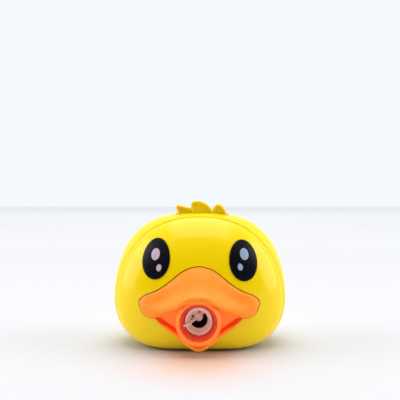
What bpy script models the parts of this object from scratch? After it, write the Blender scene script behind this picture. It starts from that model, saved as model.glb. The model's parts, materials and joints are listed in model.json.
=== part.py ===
"""Duck-head bubble machine, modelled in metres with +Z up and the face looking along -Y.

The origin lies on the flat base. A motor above the nozzle turns the fan at its front, and a
train of gears slows it down for the tube pump and for the wiper that draws the film.
"""

import math

import bmesh
import bpy
from mathutils import Matrix, Vector

# Head shell: one rounded body with a flat base, parted across its depth.
HALF_WIDTH = 0.0625
WIDEST_HEIGHT = 0.0323
CROWN_RISE = 0.0624
BELLY_DROP = 0.0337
HALF_DEPTH = 0.041
DEPTH_CENTRE = 0.001
CROWN_POWERS = (2.8, 2.2)
BROW_POWERS = (2.2, 2.05)
BROW_SHARE = 0.40
BELLY_POWERS = (4.7, 1.8)
SIDE_POWER = 2.4
BELLY_DEPTH_POWER = 4.0
PARTING_Y = -0.015
WALL = 0.002
GAP = 0.0003
HEAD_SEGMENTS = 36
FRONT_RINGS = 7
REAR_RINGS = 9

# Nozzle, on an axis along Y through the middle of the mouth.
NOZZLE = Vector((0.0, 0.0, 0.0232))
COLLAR_RADIUS = 0.01485
COLLAR_BORE = 0.0123
COLLAR_FRONT = -0.0522
CUP_RADIUS = 0.01195
RING_RADIUS = 0.0091
AIR_HOLE_RADIUS = 0.00587
RING_FRONT = -0.0446
HUB_FRONT = -0.0313
HUB_RADIUS = 0.00245
CUP_FRONT = -0.0505
CUP_REAR = -0.0256

# Gear train: three pairs of gears between the motor and the wiper.
MODULE = 0.0008
MOTOR_TEETH, COMPOUND_TEETH = 9, 32
COMPOUND_SMALL_TEETH, PUMP_TEETH = 10, 30
PUMP_SMALL_TEETH, WIPER_TEETH = 11, 27
MOTOR_AXIS = Vector((0.004, 0.0, 0.064))
PUMP_BEARING = math.radians(60.0)
FRONT_PLATE = (-0.0080, -0.0065)
REAR_PLATE = (0.0060, 0.0075)
LAYER_WIPER = (-0.0058, -0.0030)
LAYER_PUMP = (-0.0024, 0.0008)
LAYER_MOTOR = (0.0014, 0.0050)
PIN_RADIUS = 0.0010
PIN_BORE = 0.0013

# Fan, motor and pump.
FAN_RADIUS = 0.018
FAN_Y = (-0.0195, -0.0083)
MOTOR_RADIUS = 0.010
MOTOR_Y = (0.0078, 0.0328)
ROLLER_CIRCLE = 0.0070
ROLLER_RADIUS = 0.0020
TUBE_LOOP = 0.0110
TUBE_RADIUS = 0.0015
TUBE_PLANES = (0.0105, 0.0145)

# Bottle, standing in its bay behind the left cheek.
BOTTLE = Vector((-0.029, 0.001, 0.0))
BOTTLE_RADIUS = 0.0142
BOTTLE_FOOT = 0.0026
BOTTLE_WALL = 0.0012
NECK_RADIUS = 0.0095
NECK_TOP = 0.0545

# Batteries: three cells lying across the back.
CELL_RADIUS = 0.00715
CELL_LENGTH = 0.0495
NUB_LENGTH = 0.0014
NUB_RADIUS = 0.0027
CELL_Y = 0.0259
CELL_HEIGHTS = (0.0142, 0.0296, 0.0450)
DOOR_HALF_WIDTH = 0.033
DOOR_Z = (0.006, 0.054)
DOOR_HINGE = Vector((0.0, 0.0375, 0.006))

# Shell screws, as (x, z), and the crest that is the push button.
SCREWS = ((-0.050, 0.022), (0.050, 0.022), (-0.034, 0.074), (0.034, 0.074))
SCREW_SEAT = 0.002
SCREW_LENGTH = 0.0240
SCREW_ROOM = 0.0016
SCREW_HEAD_ROOM = 0.0030
BORE_FRONT = -0.0222
FRONT_BOSS_RADIUS = 0.0036
REAR_BOSS_RADIUS = 0.0038
CREST_Y = (-0.008, 0.0)
CREST_SLOT = ((-0.0171, 0.0204), (-0.0085, 0.0005))

YELLOW = (0.93, 0.74, 0.02)
ORANGE = (0.98, 0.35, 0.06)
MOUTH_ORANGE = (0.93, 0.19, 0.04)
STEEL = (0.62, 0.62, 0.64)
WHITE_PLASTIC = (0.86, 0.86, 0.84)


# ---------------------------------------------------------------- scene and materials

def clear_scene():
    for item in list(bpy.data.objects):
        bpy.data.objects.remove(item, do_unlink=True)


def new_collection(name):
    collection = bpy.data.collections.new(name)
    bpy.context.scene.collection.children.link(collection)
    return collection


def plastic(name, color, roughness=0.3, metallic=0.0, transmission=0.0):
    material = bpy.data.materials.new(name)
    material.use_nodes = True
    shader = material.node_tree.nodes["Principled BSDF"]
    shader.inputs["Base Color"].default_value = (*color, 1.0)
    shader.inputs["Roughness"].default_value = roughness
    shader.inputs["Metallic"].default_value = metallic
    shader.inputs["Transmission Weight"].default_value = transmission
    material.diffuse_color = (*color, 1.0)
    return material


def place(item, collection, material=None):
    collection.objects.link(item)
    if material:
        item.data.materials.clear()
        item.data.materials.append(material)
    return item


def hide_tool(item):
    item.hide_render = True
    item.display_type = "WIRE"
    return item


# ---------------------------------------------------------------- basic solids

def mesh_object(name, shape, smooth_angle=35.0):
    mesh = bpy.data.meshes.new(name)
    shape.to_mesh(mesh)
    shape.free()
    mesh.shade_smooth()
    mesh.set_sharp_from_angle(angle=math.radians(smooth_angle))
    return bpy.data.objects.new(name, mesh)


def block(name, low, high):
    """Box between two opposite corners."""
    low, high = Vector(low), Vector(high)
    shape = bmesh.new()
    bmesh.ops.create_cube(shape, size=1.0)
    bmesh.ops.scale(shape, vec=high - low, verts=shape.verts)
    item = mesh_object(name, shape)
    item.location = (low + high) / 2
    return item


ALONG = {
    "X": Matrix.Rotation(math.radians(90.0), 4, "Y"),
    "Y": Matrix.Rotation(math.radians(-90.0), 4, "X"),
    "Z": Matrix.Identity(4),
}


def rod(name, start, length, radius, along="Y", segments=24):
    """Cylinder that starts at a point and runs a length along one axis."""
    shape = bmesh.new()
    bmesh.ops.create_cone(shape, cap_ends=True, segments=segments, radius1=radius,
                          radius2=radius, depth=length)
    bmesh.ops.translate(shape, vec=(0.0, 0.0, length / 2), verts=shape.verts)
    item = mesh_object(name, shape)
    item.matrix_world = Matrix.Translation(start) @ ALONG[along]
    return item


def turned(name, profile, centre, along="Y", segments=32):
    """Body turned about an axis. The profile lists (radius, height), outer side top to bottom.

    The profile of a hollow body starts and ends at its mouth and meets the axis twice between.
    """
    shape = bmesh.new()
    corners = [shape.verts.new((radius, 0.0, height)) for radius, height in profile]
    for first, second in zip(corners, corners[1:]):
        on_axis = first.co.x == 0.0 and second.co.x == 0.0
        if not on_axis:
            shape.edges.new((first, second))
    if profile[0][0] > 0.0:
        shape.edges.new((corners[-1], corners[0]))
    mesh = bpy.data.meshes.new(name)
    shape.to_mesh(mesh)
    shape.free()
    item = bpy.data.objects.new(name, mesh)
    screw = item.modifiers.new("Turn", "SCREW")
    screw.steps = screw.render_steps = segments
    screw.use_merge_vertices = True
    screw.merge_threshold = 0.00001
    screw.use_smooth_shade = True
    item.matrix_world = Matrix.Translation(centre) @ ALONG[along]
    return item


def outline_plate(name, outlines, centre, y_range):
    """Flat plate in the XZ plane from closed outlines of (x, z), the inner ones being holes."""
    curve = bpy.data.curves.new(name, "CURVE")
    curve.dimensions = "2D"
    curve.fill_mode = "BOTH"
    curve.extrude = (y_range[1] - y_range[0]) / 2
    for outline in outlines:
        spline = curve.splines.new("POLY")
        spline.points.add(len(outline) - 1)
        for point, (x, z) in zip(spline.points, outline):
            point.co = (x, z, 0.0, 1.0)
        spline.use_cyclic_u = True
    flat = bpy.data.objects.new(name, curve)
    middle = Vector((centre.x, (y_range[0] + y_range[1]) / 2, centre.z))
    flat.matrix_world = Matrix.Translation(middle) @ Matrix.Rotation(math.radians(90.0), 4, "X")
    return as_mesh(flat)


def as_mesh(curve_item):
    """Turn a curve object into a welded mesh object of the same name and place."""
    scene_collection = bpy.context.scene.collection
    scene_collection.objects.link(curve_item)
    bpy.context.view_layer.update()
    evaluated = curve_item.evaluated_get(bpy.context.evaluated_depsgraph_get())
    mesh = bpy.data.meshes.new_from_object(evaluated)
    shape = bmesh.new()
    shape.from_mesh(mesh)
    bmesh.ops.remove_doubles(shape, verts=shape.verts, dist=0.000001)
    shape.to_mesh(mesh)
    shape.free()
    name = curve_item.name
    placing = curve_item.matrix_world.copy()
    bpy.data.objects.remove(curve_item, do_unlink=True)
    item = bpy.data.objects.new(name, mesh)
    item.matrix_world = placing
    return item


def tube_curve(name, points, radius, cyclic=False):
    """Round tube or wire along a polyline."""
    curve = bpy.data.curves.new(name, "CURVE")
    curve.dimensions = "3D"
    curve.bevel_depth = radius
    curve.bevel_resolution = 2
    curve.use_fill_caps = True
    spline = curve.splines.new("POLY")
    spline.points.add(len(points) - 1)
    for point, place_ in zip(spline.points, points):
        point.co = (*place_, 1.0)
    spline.use_cyclic_u = cyclic
    return bpy.data.objects.new(name, curve)


def circle(radius, segments=24, centre=(0.0, 0.0)):
    turns = [2 * math.pi * k / segments for k in range(segments)]
    return [(centre[0] + radius * math.cos(a), centre[1] + radius * math.sin(a)) for a in turns]


def loft(name, rings, poles=(None, None), capped=False):
    """Surface through rings of equally many points, with a pole or a cap at each end."""
    shape = bmesh.new()
    rows = [[shape.verts.new(point) for point in ring] for ring in rings]
    for row, following in zip(rows, rows[1:]):
        count = len(row)
        for k in range(count):
            after = (k + 1) % count
            shape.faces.new((row[k], row[after], following[after], following[k]))
    for row, pole in ((rows[0], poles[0]), (rows[-1], poles[1])):
        if pole is not None:
            tip = shape.verts.new(pole)
            for k, corner in enumerate(row):
                shape.faces.new((corner, row[(k + 1) % len(row)], tip))
        elif capped:
            shape.faces.new(row)
    bmesh.ops.recalc_face_normals(shape, faces=shape.faces)
    centre = sum((corner.co for corner in shape.verts), Vector()) / len(shape.verts)
    outward = sum((face.calc_center_median() - centre).dot(face.normal) * face.calc_area()
                  for face in shape.faces)
    if outward < 0.0:
        bmesh.ops.reverse_faces(shape, faces=shape.faces)
    return mesh_object(name, shape)


# ---------------------------------------------------------------- modelling steps

class Workshop:
    """Holds the two collections and joins or cuts solids by Boolean modifiers."""

    def __init__(self):
        self.parts = new_collection("bubble_machine")
        self.tools = new_collection("cutters")

    def keep(self, item, material):
        return place(item, self.parts, material)

    def combine(self, item, tool, operation):
        if tool.name not in self.tools.objects:
            place(hide_tool(tool), self.tools)
        step = item.modifiers.new(operation.title(), "BOOLEAN")
        step.operation = operation
        step.solver = "EXACT"
        step.object = tool
        return item

    def cut(self, item, *tools):
        for tool in tools:
            self.combine(item, tool, "DIFFERENCE")
        return item

    def join(self, item, *tools):
        for tool in tools:
            self.combine(item, tool, "UNION")
        return item

    def common(self, item, tool):
        return self.combine(item, tool, "INTERSECT")


def soften(item, width, segments=1, angle=40.0):
    bevel = item.modifiers.new("Edges", "BEVEL")
    bevel.width = width
    bevel.segments = segments
    bevel.limit_method = "ANGLE"
    bevel.angle_limit = math.radians(angle)
    return item


# ---------------------------------------------------------------- head form

def power_reach(across, up, powers):
    """How far a ray runs before it meets |x|^p + |z|^q = 1."""
    low, high = 0.5, 1.6
    for _ in range(40):
        middle = (low + high) / 2
        if (middle * abs(across)) ** powers[0] + (middle * abs(up)) ** powers[1] < 1.0:
            low = middle
        else:
            high = middle
    return low


def head_scales(span):
    """Width scale and belly scale at a share of the half depth."""
    side = (1.0 - span ** SIDE_POWER) ** (1 / SIDE_POWER)
    belly = (1.0 - span ** BELLY_DEPTH_POWER) ** (1 / BELLY_DEPTH_POWER)
    return side, belly


def crown_powers(share):
    """Powers of the crown's outline at a signed share of the half depth, rounder in front."""
    t = min(max(-share / BROW_SHARE, 0.0), 1.0)
    t = t * t * (3 - 2 * t)
    return tuple(a + (b - a) * t for a, b in zip(CROWN_POWERS, BROW_POWERS))


def head_ring(share, grow):
    """Outline of the head in the plane at a signed share of its half depth."""
    side, belly = head_scales(abs(share))
    y = DEPTH_CENTRE + share * (HALF_DEPTH + grow)
    crown = crown_powers(share)
    ring = []
    for k in range(HEAD_SEGMENTS):
        turn = 2 * math.pi * k / HEAD_SEGMENTS
        across, up = math.cos(turn), math.sin(turn)
        if up >= 0.0:
            reach = power_reach(across, up, crown)
            rise = (CROWN_RISE + grow) * side
        else:
            reach = power_reach(across, up, BELLY_POWERS)
            rise = (BELLY_DROP + grow) * belly
        x = (HALF_WIDTH + grow) * side * reach * across
        z = WIDEST_HEIGHT + rise * reach * up
        ring.append(Vector((x, y, max(z, -grow))))
    return ring


def ring_shares(first, last, count):
    """Shares of the half depth, closer together towards the poles."""
    def turn(share):
        return math.copysign(math.asin(abs(share) ** (SIDE_POWER / 2)), share)
    start, stop = turn(first), turn(last)
    shares = []
    for k in range(count + 1):
        angle = start + (stop - start) * k / count
        shares.append(math.copysign(abs(math.sin(angle)) ** (2 / SIDE_POWER), angle))
    return shares


PARTING_SHARE = (PARTING_Y - DEPTH_CENTRE) / HALF_DEPTH
FRONT_SHARES = ring_shares(PARTING_SHARE, -1.0, FRONT_RINGS)
REAR_SHARES = ring_shares(PARTING_SHARE, 1.0, REAR_RINGS)
OVERRUN = 0.08


def pole(share, grow):
    return Vector((0.0, DEPTH_CENTRE + share * (HALF_DEPTH + grow), WIDEST_HEIGHT))


def head_solid(name, grow):
    """The whole head as a closed solid, grown or shrunk all round."""
    shares = FRONT_SHARES[-2:0:-1] + REAR_SHARES[:-1]
    rings = [head_ring(share, grow) for share in shares]
    return loft(name, rings, (pole(-1.0, grow), pole(1.0, grow)))


def head_front(x, z):
    """The y of the head's front surface over a point (x, z)."""
    low, high = 0.0, 1.0
    for _ in range(40):
        middle = (low + high) / 2
        side, belly = head_scales(middle)
        rise = CROWN_RISE * side if z >= WIDEST_HEIGHT else BELLY_DROP * belly
        powers = crown_powers(-middle) if z >= WIDEST_HEIGHT else BELLY_POWERS
        width = abs(x) / (HALF_WIDTH * side)
        height = abs(z - WIDEST_HEIGHT) / rise
        if width ** powers[0] + height ** powers[1] < 1.0:
            low = middle
        else:
            high = middle
    return DEPTH_CENTRE - low * HALF_DEPTH


def between(pairs, x):
    """Smooth value at x through a short list of (x, value)."""
    x = min(max(x, pairs[0][0]), pairs[-1][0])
    last = len(pairs) - 1
    k = max(i for i in range(last) if pairs[i][0] <= x)
    (x0, v0), (x1, v1) = pairs[k], pairs[k + 1]

    def slope(i):
        i0, i1 = max(i - 1, 0), min(i + 1, last)
        return (pairs[i1][1] - pairs[i0][1]) / (pairs[i1][0] - pairs[i0][0])
    span = x1 - x0
    t = (x - x0) / span
    start = slope(k) * span if k else 0.0
    stop = slope(k + 1) * span
    return (v0 * (2 * t**3 - 3 * t**2 + 1) + v1 * (3 * t**2 - 2 * t**3)
            + start * (t**3 - 2 * t**2 + t) + stop * (t**3 - t**2))


# ---------------------------------------------------------------- shells

def shell_surface(name, shares, far_share, far_pole):
    """Open half of the head, run a little past the parting plane."""
    rings = [head_ring(share, 0.0) for share in [far_share] + shares[:-1]]
    item = loft(name, rings, (None, far_pole))
    wall = item.modifiers.new("Wall", "SOLIDIFY")
    wall.thickness = WALL
    wall.offset = -1.0
    wall.use_even_offset = True
    return item


def screw_rods(name, y_range, radius):
    """Four parallel rods in one mesh, one at each shell screw."""
    front, rear = y_range
    shape = bmesh.new()
    for x, z in SCREWS:
        centre = Matrix.Translation((x, (front + rear) / 2, z)) @ ALONG["Y"]
        bmesh.ops.create_cone(shape, cap_ends=True, segments=16, radius1=radius,
                              radius2=radius, depth=rear - front, matrix=centre)
    return mesh_object(name, shape)


def half_space(name, y_low, y_high):
    return block(name, (-0.08, y_low, -0.02), (0.08, y_high, 0.12))


def build_front_shell(shop, material):
    shell = shell_surface("front_shell", FRONT_SHARES, PARTING_SHARE + OVERRUN, pole(-1.0, 0.0))
    shop.cut(shell, half_space("behind_parting", PARTING_Y - GAP / 2, 0.05))
    bosses = screw_rods("front_boss_stock", (-0.040, PARTING_Y - GAP / 2), FRONT_BOSS_RADIUS)
    shop.common(bosses, shop.tools.objects["wall_middle"])
    shop.join(shell, bosses)
    shop.cut(shell, screw_rods("front_boss_bores", (BORE_FRONT, PARTING_Y + 0.0035), SCREW_ROOM))
    mouth = rod("nozzle_opening", NOZZLE + Vector((0, -0.045, 0)), 0.012, COLLAR_RADIUS + 0.0004,
                segments=32)
    shop.cut(shell, mouth)
    return shop.keep(shell, material)


def build_rear_shell(shop, material):
    shell = shell_surface("rear_shell", REAR_SHARES, PARTING_SHARE - OVERRUN, pole(1.0, 0.0))
    shop.cut(shell, half_space("ahead_of_parting", -0.05, PARTING_Y + GAP / 2))
    bosses = screw_rods("rear_boss_stock", (PARTING_Y + GAP / 2, 0.045), REAR_BOSS_RADIUS)
    shop.common(bosses, shop.tools.objects["wall_middle"])
    shop.join(shell, bosses)
    shop.cut(shell, screw_rods("rear_boss_bores", (PARTING_Y - 0.001, SCREW_SEAT + 0.002),
                               SCREW_ROOM))
    shop.cut(shell, screw_rods("rear_counterbores", (SCREW_SEAT, 0.052), SCREW_HEAD_ROOM))
    door_opening = block("door_opening", (-DOOR_HALF_WIDTH, 0.022, DOOR_Z[0]),
                         (DOOR_HALF_WIDTH, 0.060, DOOR_Z[1]))
    bottle_opening = rod("bottle_opening", BOTTLE + Vector((0, 0, -0.003)), 0.010,
                         BOTTLE_RADIUS + 0.0004, "Z", 32)
    (left, right), (front, rear) = CREST_SLOT
    crest_opening = block("crest_opening", (left, front, 0.084), (right, rear, 0.100))
    shop.cut(shell, door_opening, bottle_opening, crest_opening)
    return shop.keep(shell, material)


def build_battery_door(shop, material):
    """Piece of the same curved wall that fills the rear opening, hinged along its foot."""
    door = shell_surface("battery_door", REAR_SHARES, PARTING_SHARE - OVERRUN, pole(1.0, 0.0))
    edge = 0.0004
    blank = block("door_blank", (-DOOR_HALF_WIDTH + edge, 0.024, DOOR_Z[0] + edge),
                  (DOOR_HALF_WIDTH - edge, 0.060, DOOR_Z[1] - edge))
    shop.common(door, blank)
    shop.cut(door, rod("door_screw_hole", (0, 0.035, 0.0505), 0.012, 0.0016, segments=16))
    shop.cut(door, rod("door_screw_recess", (0, 0.0402, 0.0505), 0.012, 0.0029, segments=16))
    door.data.transform(Matrix.Translation(-DOOR_HINGE))
    door.location = DOOR_HINGE
    return shop.keep(door, material)


# ---------------------------------------------------------------- face

EYE_HALF = (0.0096, 0.0139)
EYE_CENTRES = {-1.0: (0.0292, 0.0636), 1.0: (0.0300, 0.0625)}
EYE_LEAN = math.radians(7.0)
EYE_PROUD = 0.0010
EYE_POINTS = 28


def eye_outline(side):
    """Egg outline of one eye, wider below, its top leaning inwards."""
    points = []
    for k in range(EYE_POINTS):
        turn = 2 * math.pi * k / EYE_POINTS
        up = math.sin(turn)
        x = EYE_HALF[0] * math.cos(turn) * (1.0 - 0.06 * up)
        z = EYE_HALF[1] * up
        leaned = (x * math.cos(EYE_LEAN) - z * math.sin(EYE_LEAN),
                  x * math.sin(EYE_LEAN) + z * math.cos(EYE_LEAN))
        points.append((side * leaned[0], leaned[1]))
    return points if side > 0 else points[::-1]


def build_eye(shop, name, side, material):
    across, up = EYE_CENTRES[side]
    centre = Vector((side * across, 0.0, up))
    eye = outline_plate(name, [eye_outline(side)], centre, (-0.045, -0.015))
    shop.common(eye, shop.tools.objects["eye_face"])
    shop.cut(eye, shop.tools.objects["skin_clearance"])
    return shop.keep(eye, material)


BILL_TOP = ((0.0, 0.0583), (0.0072, 0.0568), (0.0124, 0.0540), (0.0192, 0.0484),
            (0.0243, 0.0446), (0.0296, 0.0415), (0.0358, 0.0390), (0.0393, 0.0366),
            (0.0411, 0.0341))
BILL_FOOT = ((0.0, 0.0368), (0.0069, 0.0359), (0.0131, 0.0328), (0.0209, 0.0284),
             (0.0270, 0.0252), (0.0320, 0.0240), (0.0360, 0.0252), (0.0390, 0.0283),
             (0.0411, 0.0335))
BILL_FRONT = ((0.0, -0.0560), (0.0069, -0.0552), (0.0119, -0.0532), (0.0187, -0.0488),
              (0.0240, -0.0456), (0.0290, -0.0428), (0.0332, -0.0405), (0.0380, -0.0375),
              (0.0411, -0.0345))
JAW_RIM = ((0.0, 0.0043), (0.0040, 0.0053), (0.0078, 0.0075), (0.0108, 0.0096),
           (0.0180, 0.0145), (0.0244, 0.0187), (0.0289, 0.0229))
JAW_FRONT = ((0.0, -0.0500), (0.0050, -0.0490), (0.0104, -0.0468), (0.0200, -0.0436),
             (0.0289, -0.0402))
BILL_REACH = 0.0411
JAW_REACH = 0.0289
JAW_WALL = 0.0050
PANEL_PROUD = 0.0016


def stations(reach, count):
    """Places across a symmetric piece, closer together towards its ends."""
    return [reach * math.sin(math.pi / 2 * k / count) for k in range(-count, count + 1)]


def bezier(p0, p1, p2, p3, count):
    """Points along a cubic curve, without its ends."""
    points = []
    for k in range(1, count):
        t = k / count
        u = 1 - t
        points.append(tuple(u**3 * a + 3 * u**2 * t * b + 3 * u * t**2 * c + t**3 * d
                            for a, b, c, d in zip(p0, p1, p2, p3)))
    return points


def ease(low, high, x):
    t = min(max((x - low) / (high - low), 0.0), 1.0)
    return t * t * (3 - 2 * t)


def bill_section(x):
    """Closed profile of the upper bill in the plane at x: back, ridge, rolled lip, roof."""
    top, foot = between(BILL_TOP, abs(x)), between(BILL_FOOT, abs(x))
    front = between(BILL_FRONT, abs(x))
    root, under = head_front(x, top), head_front(x, foot)
    height, depth = top - foot, max(root - front, 0.0006)
    wing = ease(0.014, 0.030, abs(x))
    edge = min(0.0007, 0.2 * height)
    brow = (root - 0.0003 - edge, top - edge)
    points = [(root + 0.004, top), (root - 0.0003, top), brow]
    across = min(0.0030 + 0.0022 * wing, 0.6 * depth)
    rise = min(0.0040 + 0.0012 * wing, 0.36 * height)
    first = 112.0 + 18.0 * wing

    def roll(turn):
        return (front + across + across * math.cos(math.radians(turn)),
                foot + rise + rise * math.sin(math.radians(turn)))
    crest = roll(first)
    slope = (-across * math.sin(math.radians(first)), rise * math.cos(math.radians(first)))
    length = math.hypot(*slope)
    run = math.hypot(brow[0] - crest[0], brow[1] - crest[1])
    leave = (brow[0] - run * (0.30 - 0.12 * wing), brow[1] - run * (0.24 - 0.16 * wing))
    arrive = (crest[0] - slope[0] / length * run * 0.36, crest[1] - slope[1] / length * run * 0.36)
    points += bezier(brow, leave, arrive, crest, 5)
    points += [roll(first + (270.0 - first) * k / 6) for k in range(7)]
    roof = foot + min(0.0022 - 0.0006 * wing, 0.4 * height)
    points.append((front + across + 0.0003, foot + 0.8 * (roof - foot)))
    points.append((max(under, front + across + 0.0003) + 0.004, roof))
    return [Vector((x, y, z)) for y, z in points]


def jaw_inner(x):
    """Height at which the jaw's sloping inner wall meets the head, kept under the collar."""
    foot = between(JAW_RIM, abs(x))
    rise = JAW_WALL
    if abs(x) < COLLAR_RADIUS:
        collar_foot = NOZZLE.z - math.sqrt(COLLAR_RADIUS**2 - x * x)
        rise = min(rise, max(collar_foot - 0.0008 - foot, 0.0024))
    return foot + rise * (1.0 - 0.45 * ease(0.024, JAW_REACH, abs(x)))


def jaw_section(x):
    """Closed profile of the lower jaw in the plane at x: rounded rim and sloping inner wall."""
    foot, front = between(JAW_RIM, abs(x)), between(JAW_FRONT, abs(x))
    inner = jaw_inner(x)
    skin = head_front(x, inner)
    back = skin + 0.004
    return [Vector((x, y, z)) for y, z in (
        (back, foot + 0.0020), (front + 0.0008, foot), (front + 0.0002, foot + 0.0003),
        (front, foot + 0.0008), (front + 0.0002, foot + 0.0013), (front + 0.0008, foot + 0.0015),
        (skin, inner), (back, inner))]


def build_bill(shop, orange):
    clearance = shop.tools.objects["skin_clearance"]
    upper = loft("upper_bill", [bill_section(x) for x in stations(BILL_REACH, 10)], capped=True)
    lower = loft("lower_bill", [jaw_section(x) for x in stations(JAW_REACH, 7)], capped=True)
    collar_room = rod("collar_room", NOZZLE + Vector((0, COLLAR_FRONT - GAP, 0)), 0.018,
                      COLLAR_RADIUS + GAP, segments=32)
    shop.keep(shop.cut(upper, clearance, collar_room), orange)
    shop.keep(shop.cut(lower, clearance), orange)


def build_mouth_panel(shop, material):
    """Thin back wall of the mouth that follows the head, with the nozzle's round collar."""
    across = (0.0, 0.007, 0.012, 0.019, 0.0225, 0.0255)
    upper = [(x, between(BILL_FOOT, x) + 0.0009) for x in across]
    lower = [(x, jaw_inner(x) + 0.0005) for x in across]
    right = upper + lower[::-1]
    left = [(-x, z) for x, z in right[-2:0:-1]]
    panel = outline_plate("mouth_panel", [right + left], Vector(), (-0.0460, -0.0300))
    shop.common(panel, shop.tools.objects["panel_face"])
    shop.cut(panel, shop.tools.objects["skin_clearance"])
    collar = rod("collar_stock", NOZZLE + Vector((0, COLLAR_FRONT, 0)), -0.0376 - COLLAR_FRONT,
                 COLLAR_RADIUS, segments=32)
    bore = rod("collar_bore", NOZZLE + Vector((0, COLLAR_FRONT - 0.002, 0)), 0.020, COLLAR_BORE,
               segments=32)
    shop.join(panel, collar)
    shop.cut(panel, bore)
    return shop.keep(panel, material)


# ---------------------------------------------------------------- nozzle

def build_film_ring(shop, material):
    """Ring that carries the film, with the air hole, a web and the wiper's bearing."""
    rear = -0.0240
    profile = ((RING_RADIUS, rear), (RING_RADIUS, RING_FRONT + 0.0004),
               (RING_RADIUS - 0.0004, RING_FRONT), (RING_RADIUS - 0.0010, RING_FRONT),
               (AIR_HOLE_RADIUS, -0.0380), (AIR_HOLE_RADIUS, rear))
    ring = turned("film_ring", profile, NOZZLE, segments=30)
    sector = [(0.0, 0.0)]
    for k in range(13):
        turn = math.radians(50.0 + 145.0 * k / 12)
        sector.append((0.0070 * math.cos(turn), 0.0070 * math.sin(turn)))
    web = outline_plate("film_ring_web", [sector], NOZZLE, (-0.0272, -0.0256))
    boss = rod("film_ring_boss", NOZZLE + Vector((0, -0.0278, 0)), 0.0036, 0.0026)
    shop.join(ring, web, boss)
    shop.cut(ring, rod("film_ring_bearing", NOZZLE + Vector((0, -0.030, 0)), 0.008, 0.0015))
    for number, (x, z) in enumerate(((0.0, 0.0042), (-0.0039, 0.0012)), 1):
        hole = rod(f"feed_hole_{number}", NOZZLE + Vector((x, -0.030, z)), 0.008, 0.0006,
                   segments=10)
        shop.cut(ring, hole)
    open_side = []
    for radius, steps in ((0.0100, range(21)), (0.0050, range(20, -1, -1))):
        for k in steps:
            turn = math.radians(197.0 + 211.0 * k / 20)
            open_side.append((radius * math.cos(turn), radius * math.sin(turn)))
    shop.cut(ring, outline_plate("film_ring_open_side", [open_side], NOZZLE, (-0.0364, -0.0230)))
    return shop.keep(ring, material)


NIPPLE_X = (-0.0042, 0.0042)
NIPPLE_Y = -0.0290
NIPPLE_FOOT = 0.0082


def build_drip_cup(shop, material):
    """Open cup round the film ring, with two nipples under it for the tubes."""
    profile = ((CUP_RADIUS, CUP_REAR), (CUP_RADIUS, CUP_FRONT), (CUP_RADIUS - 0.0005, CUP_FRONT),
               (0.0113, -0.0440), (0.0102, -0.0385), (0.0106, -0.0272),
               (RING_RADIUS + GAP, -0.0268), (RING_RADIUS + GAP, CUP_REAR))
    cup = turned("drip_cup", profile, NOZZLE, segments=28)
    for number, x in enumerate(NIPPLE_X, 1):
        top = NOZZLE.z - 0.0105
        nipple = rod(f"cup_nipple_{number}", (x, NIPPLE_Y, NIPPLE_FOOT), top - NIPPLE_FOOT,
                     TUBE_RADIUS, "Z", 12)
        shop.join(cup, nipple)
    return shop.keep(cup, material)


def build_wiper(shop, material):
    """Hub on the wiper shaft with one arm that follows the ring's cone out to its rim."""
    hub = rod("wiper", NOZZLE + Vector((0, HUB_FRONT, 0)), 0.0033, HUB_RADIUS)
    bends = ((0.0010, HUB_FRONT + 0.0011), (0.0047, -0.0380), (0.0070, -0.0454),
             (0.0082, -0.0463), (0.0103, -0.0466))
    heading = Matrix.Rotation(math.radians(-194.0), 4, "Y")
    path = [heading @ Vector((reach, y, 0.0)) + NOZZLE for reach, y in bends]
    arm = as_mesh(tube_curve("wiper_arm", path, 0.00075))
    shop.join(hub, arm)
    shop.cut(hub, rod("wiper_bore", NOZZLE + Vector((0, HUB_FRONT + 0.0012, 0)), 0.004, PIN_BORE))
    return shop.keep(hub, material)


# ---------------------------------------------------------------- gear train

def train_axes():
    """Axes of the wiper, pump and compound gears, spaced by their pitch radii."""
    def spacing(first, second):
        return MODULE * (first + second) / 2
    wiper = NOZZLE.copy()
    reach = spacing(PUMP_SMALL_TEETH, WIPER_TEETH)
    pump = wiper + reach * Vector((math.cos(PUMP_BEARING), 0.0, math.sin(PUMP_BEARING)))
    below, above = spacing(PUMP_TEETH, COMPOUND_SMALL_TEETH), spacing(COMPOUND_TEETH, MOTOR_TEETH)
    line = MOTOR_AXIS - pump
    distance = line.length
    line.normalize()
    along = (below**2 - above**2 + distance**2) / (2 * distance)
    aside = Vector((line.z, 0.0, -line.x)) * math.sqrt(below**2 - along**2)
    return wiper, pump, pump + line * along + aside


def bearing_angle(start, end):
    return math.atan2(end.z - start.z, end.x - start.x)


def gear_outline(teeth, tooth_at):
    """Stub teeth with room to run, one of them centred on the given angle."""
    pitch = MODULE * teeth / 2
    root, tip = pitch - 1.15 * MODULE, pitch + 0.80 * MODULE
    step = 2 * math.pi / teeth
    points = []
    for tooth in range(teeth):
        for radius, share in ((root, -0.28), (tip, -0.10), (tip, 0.10), (root, 0.28)):
            turn = tooth_at + (tooth + share) * step
            points.append((radius * math.cos(turn), radius * math.sin(turn)))
    return points


def gear(name, teeth, axis, layer, tooth_at, bore=None):
    outlines = [gear_outline(teeth, tooth_at)]
    if bore:
        outlines.append(circle(bore, 16))
    return outline_plate(name, outlines, axis, layer)


def facing_gap(towards, teeth):
    """Angle for a tooth so that a gap faces the driving gear."""
    return towards + math.pi / teeth


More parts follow.
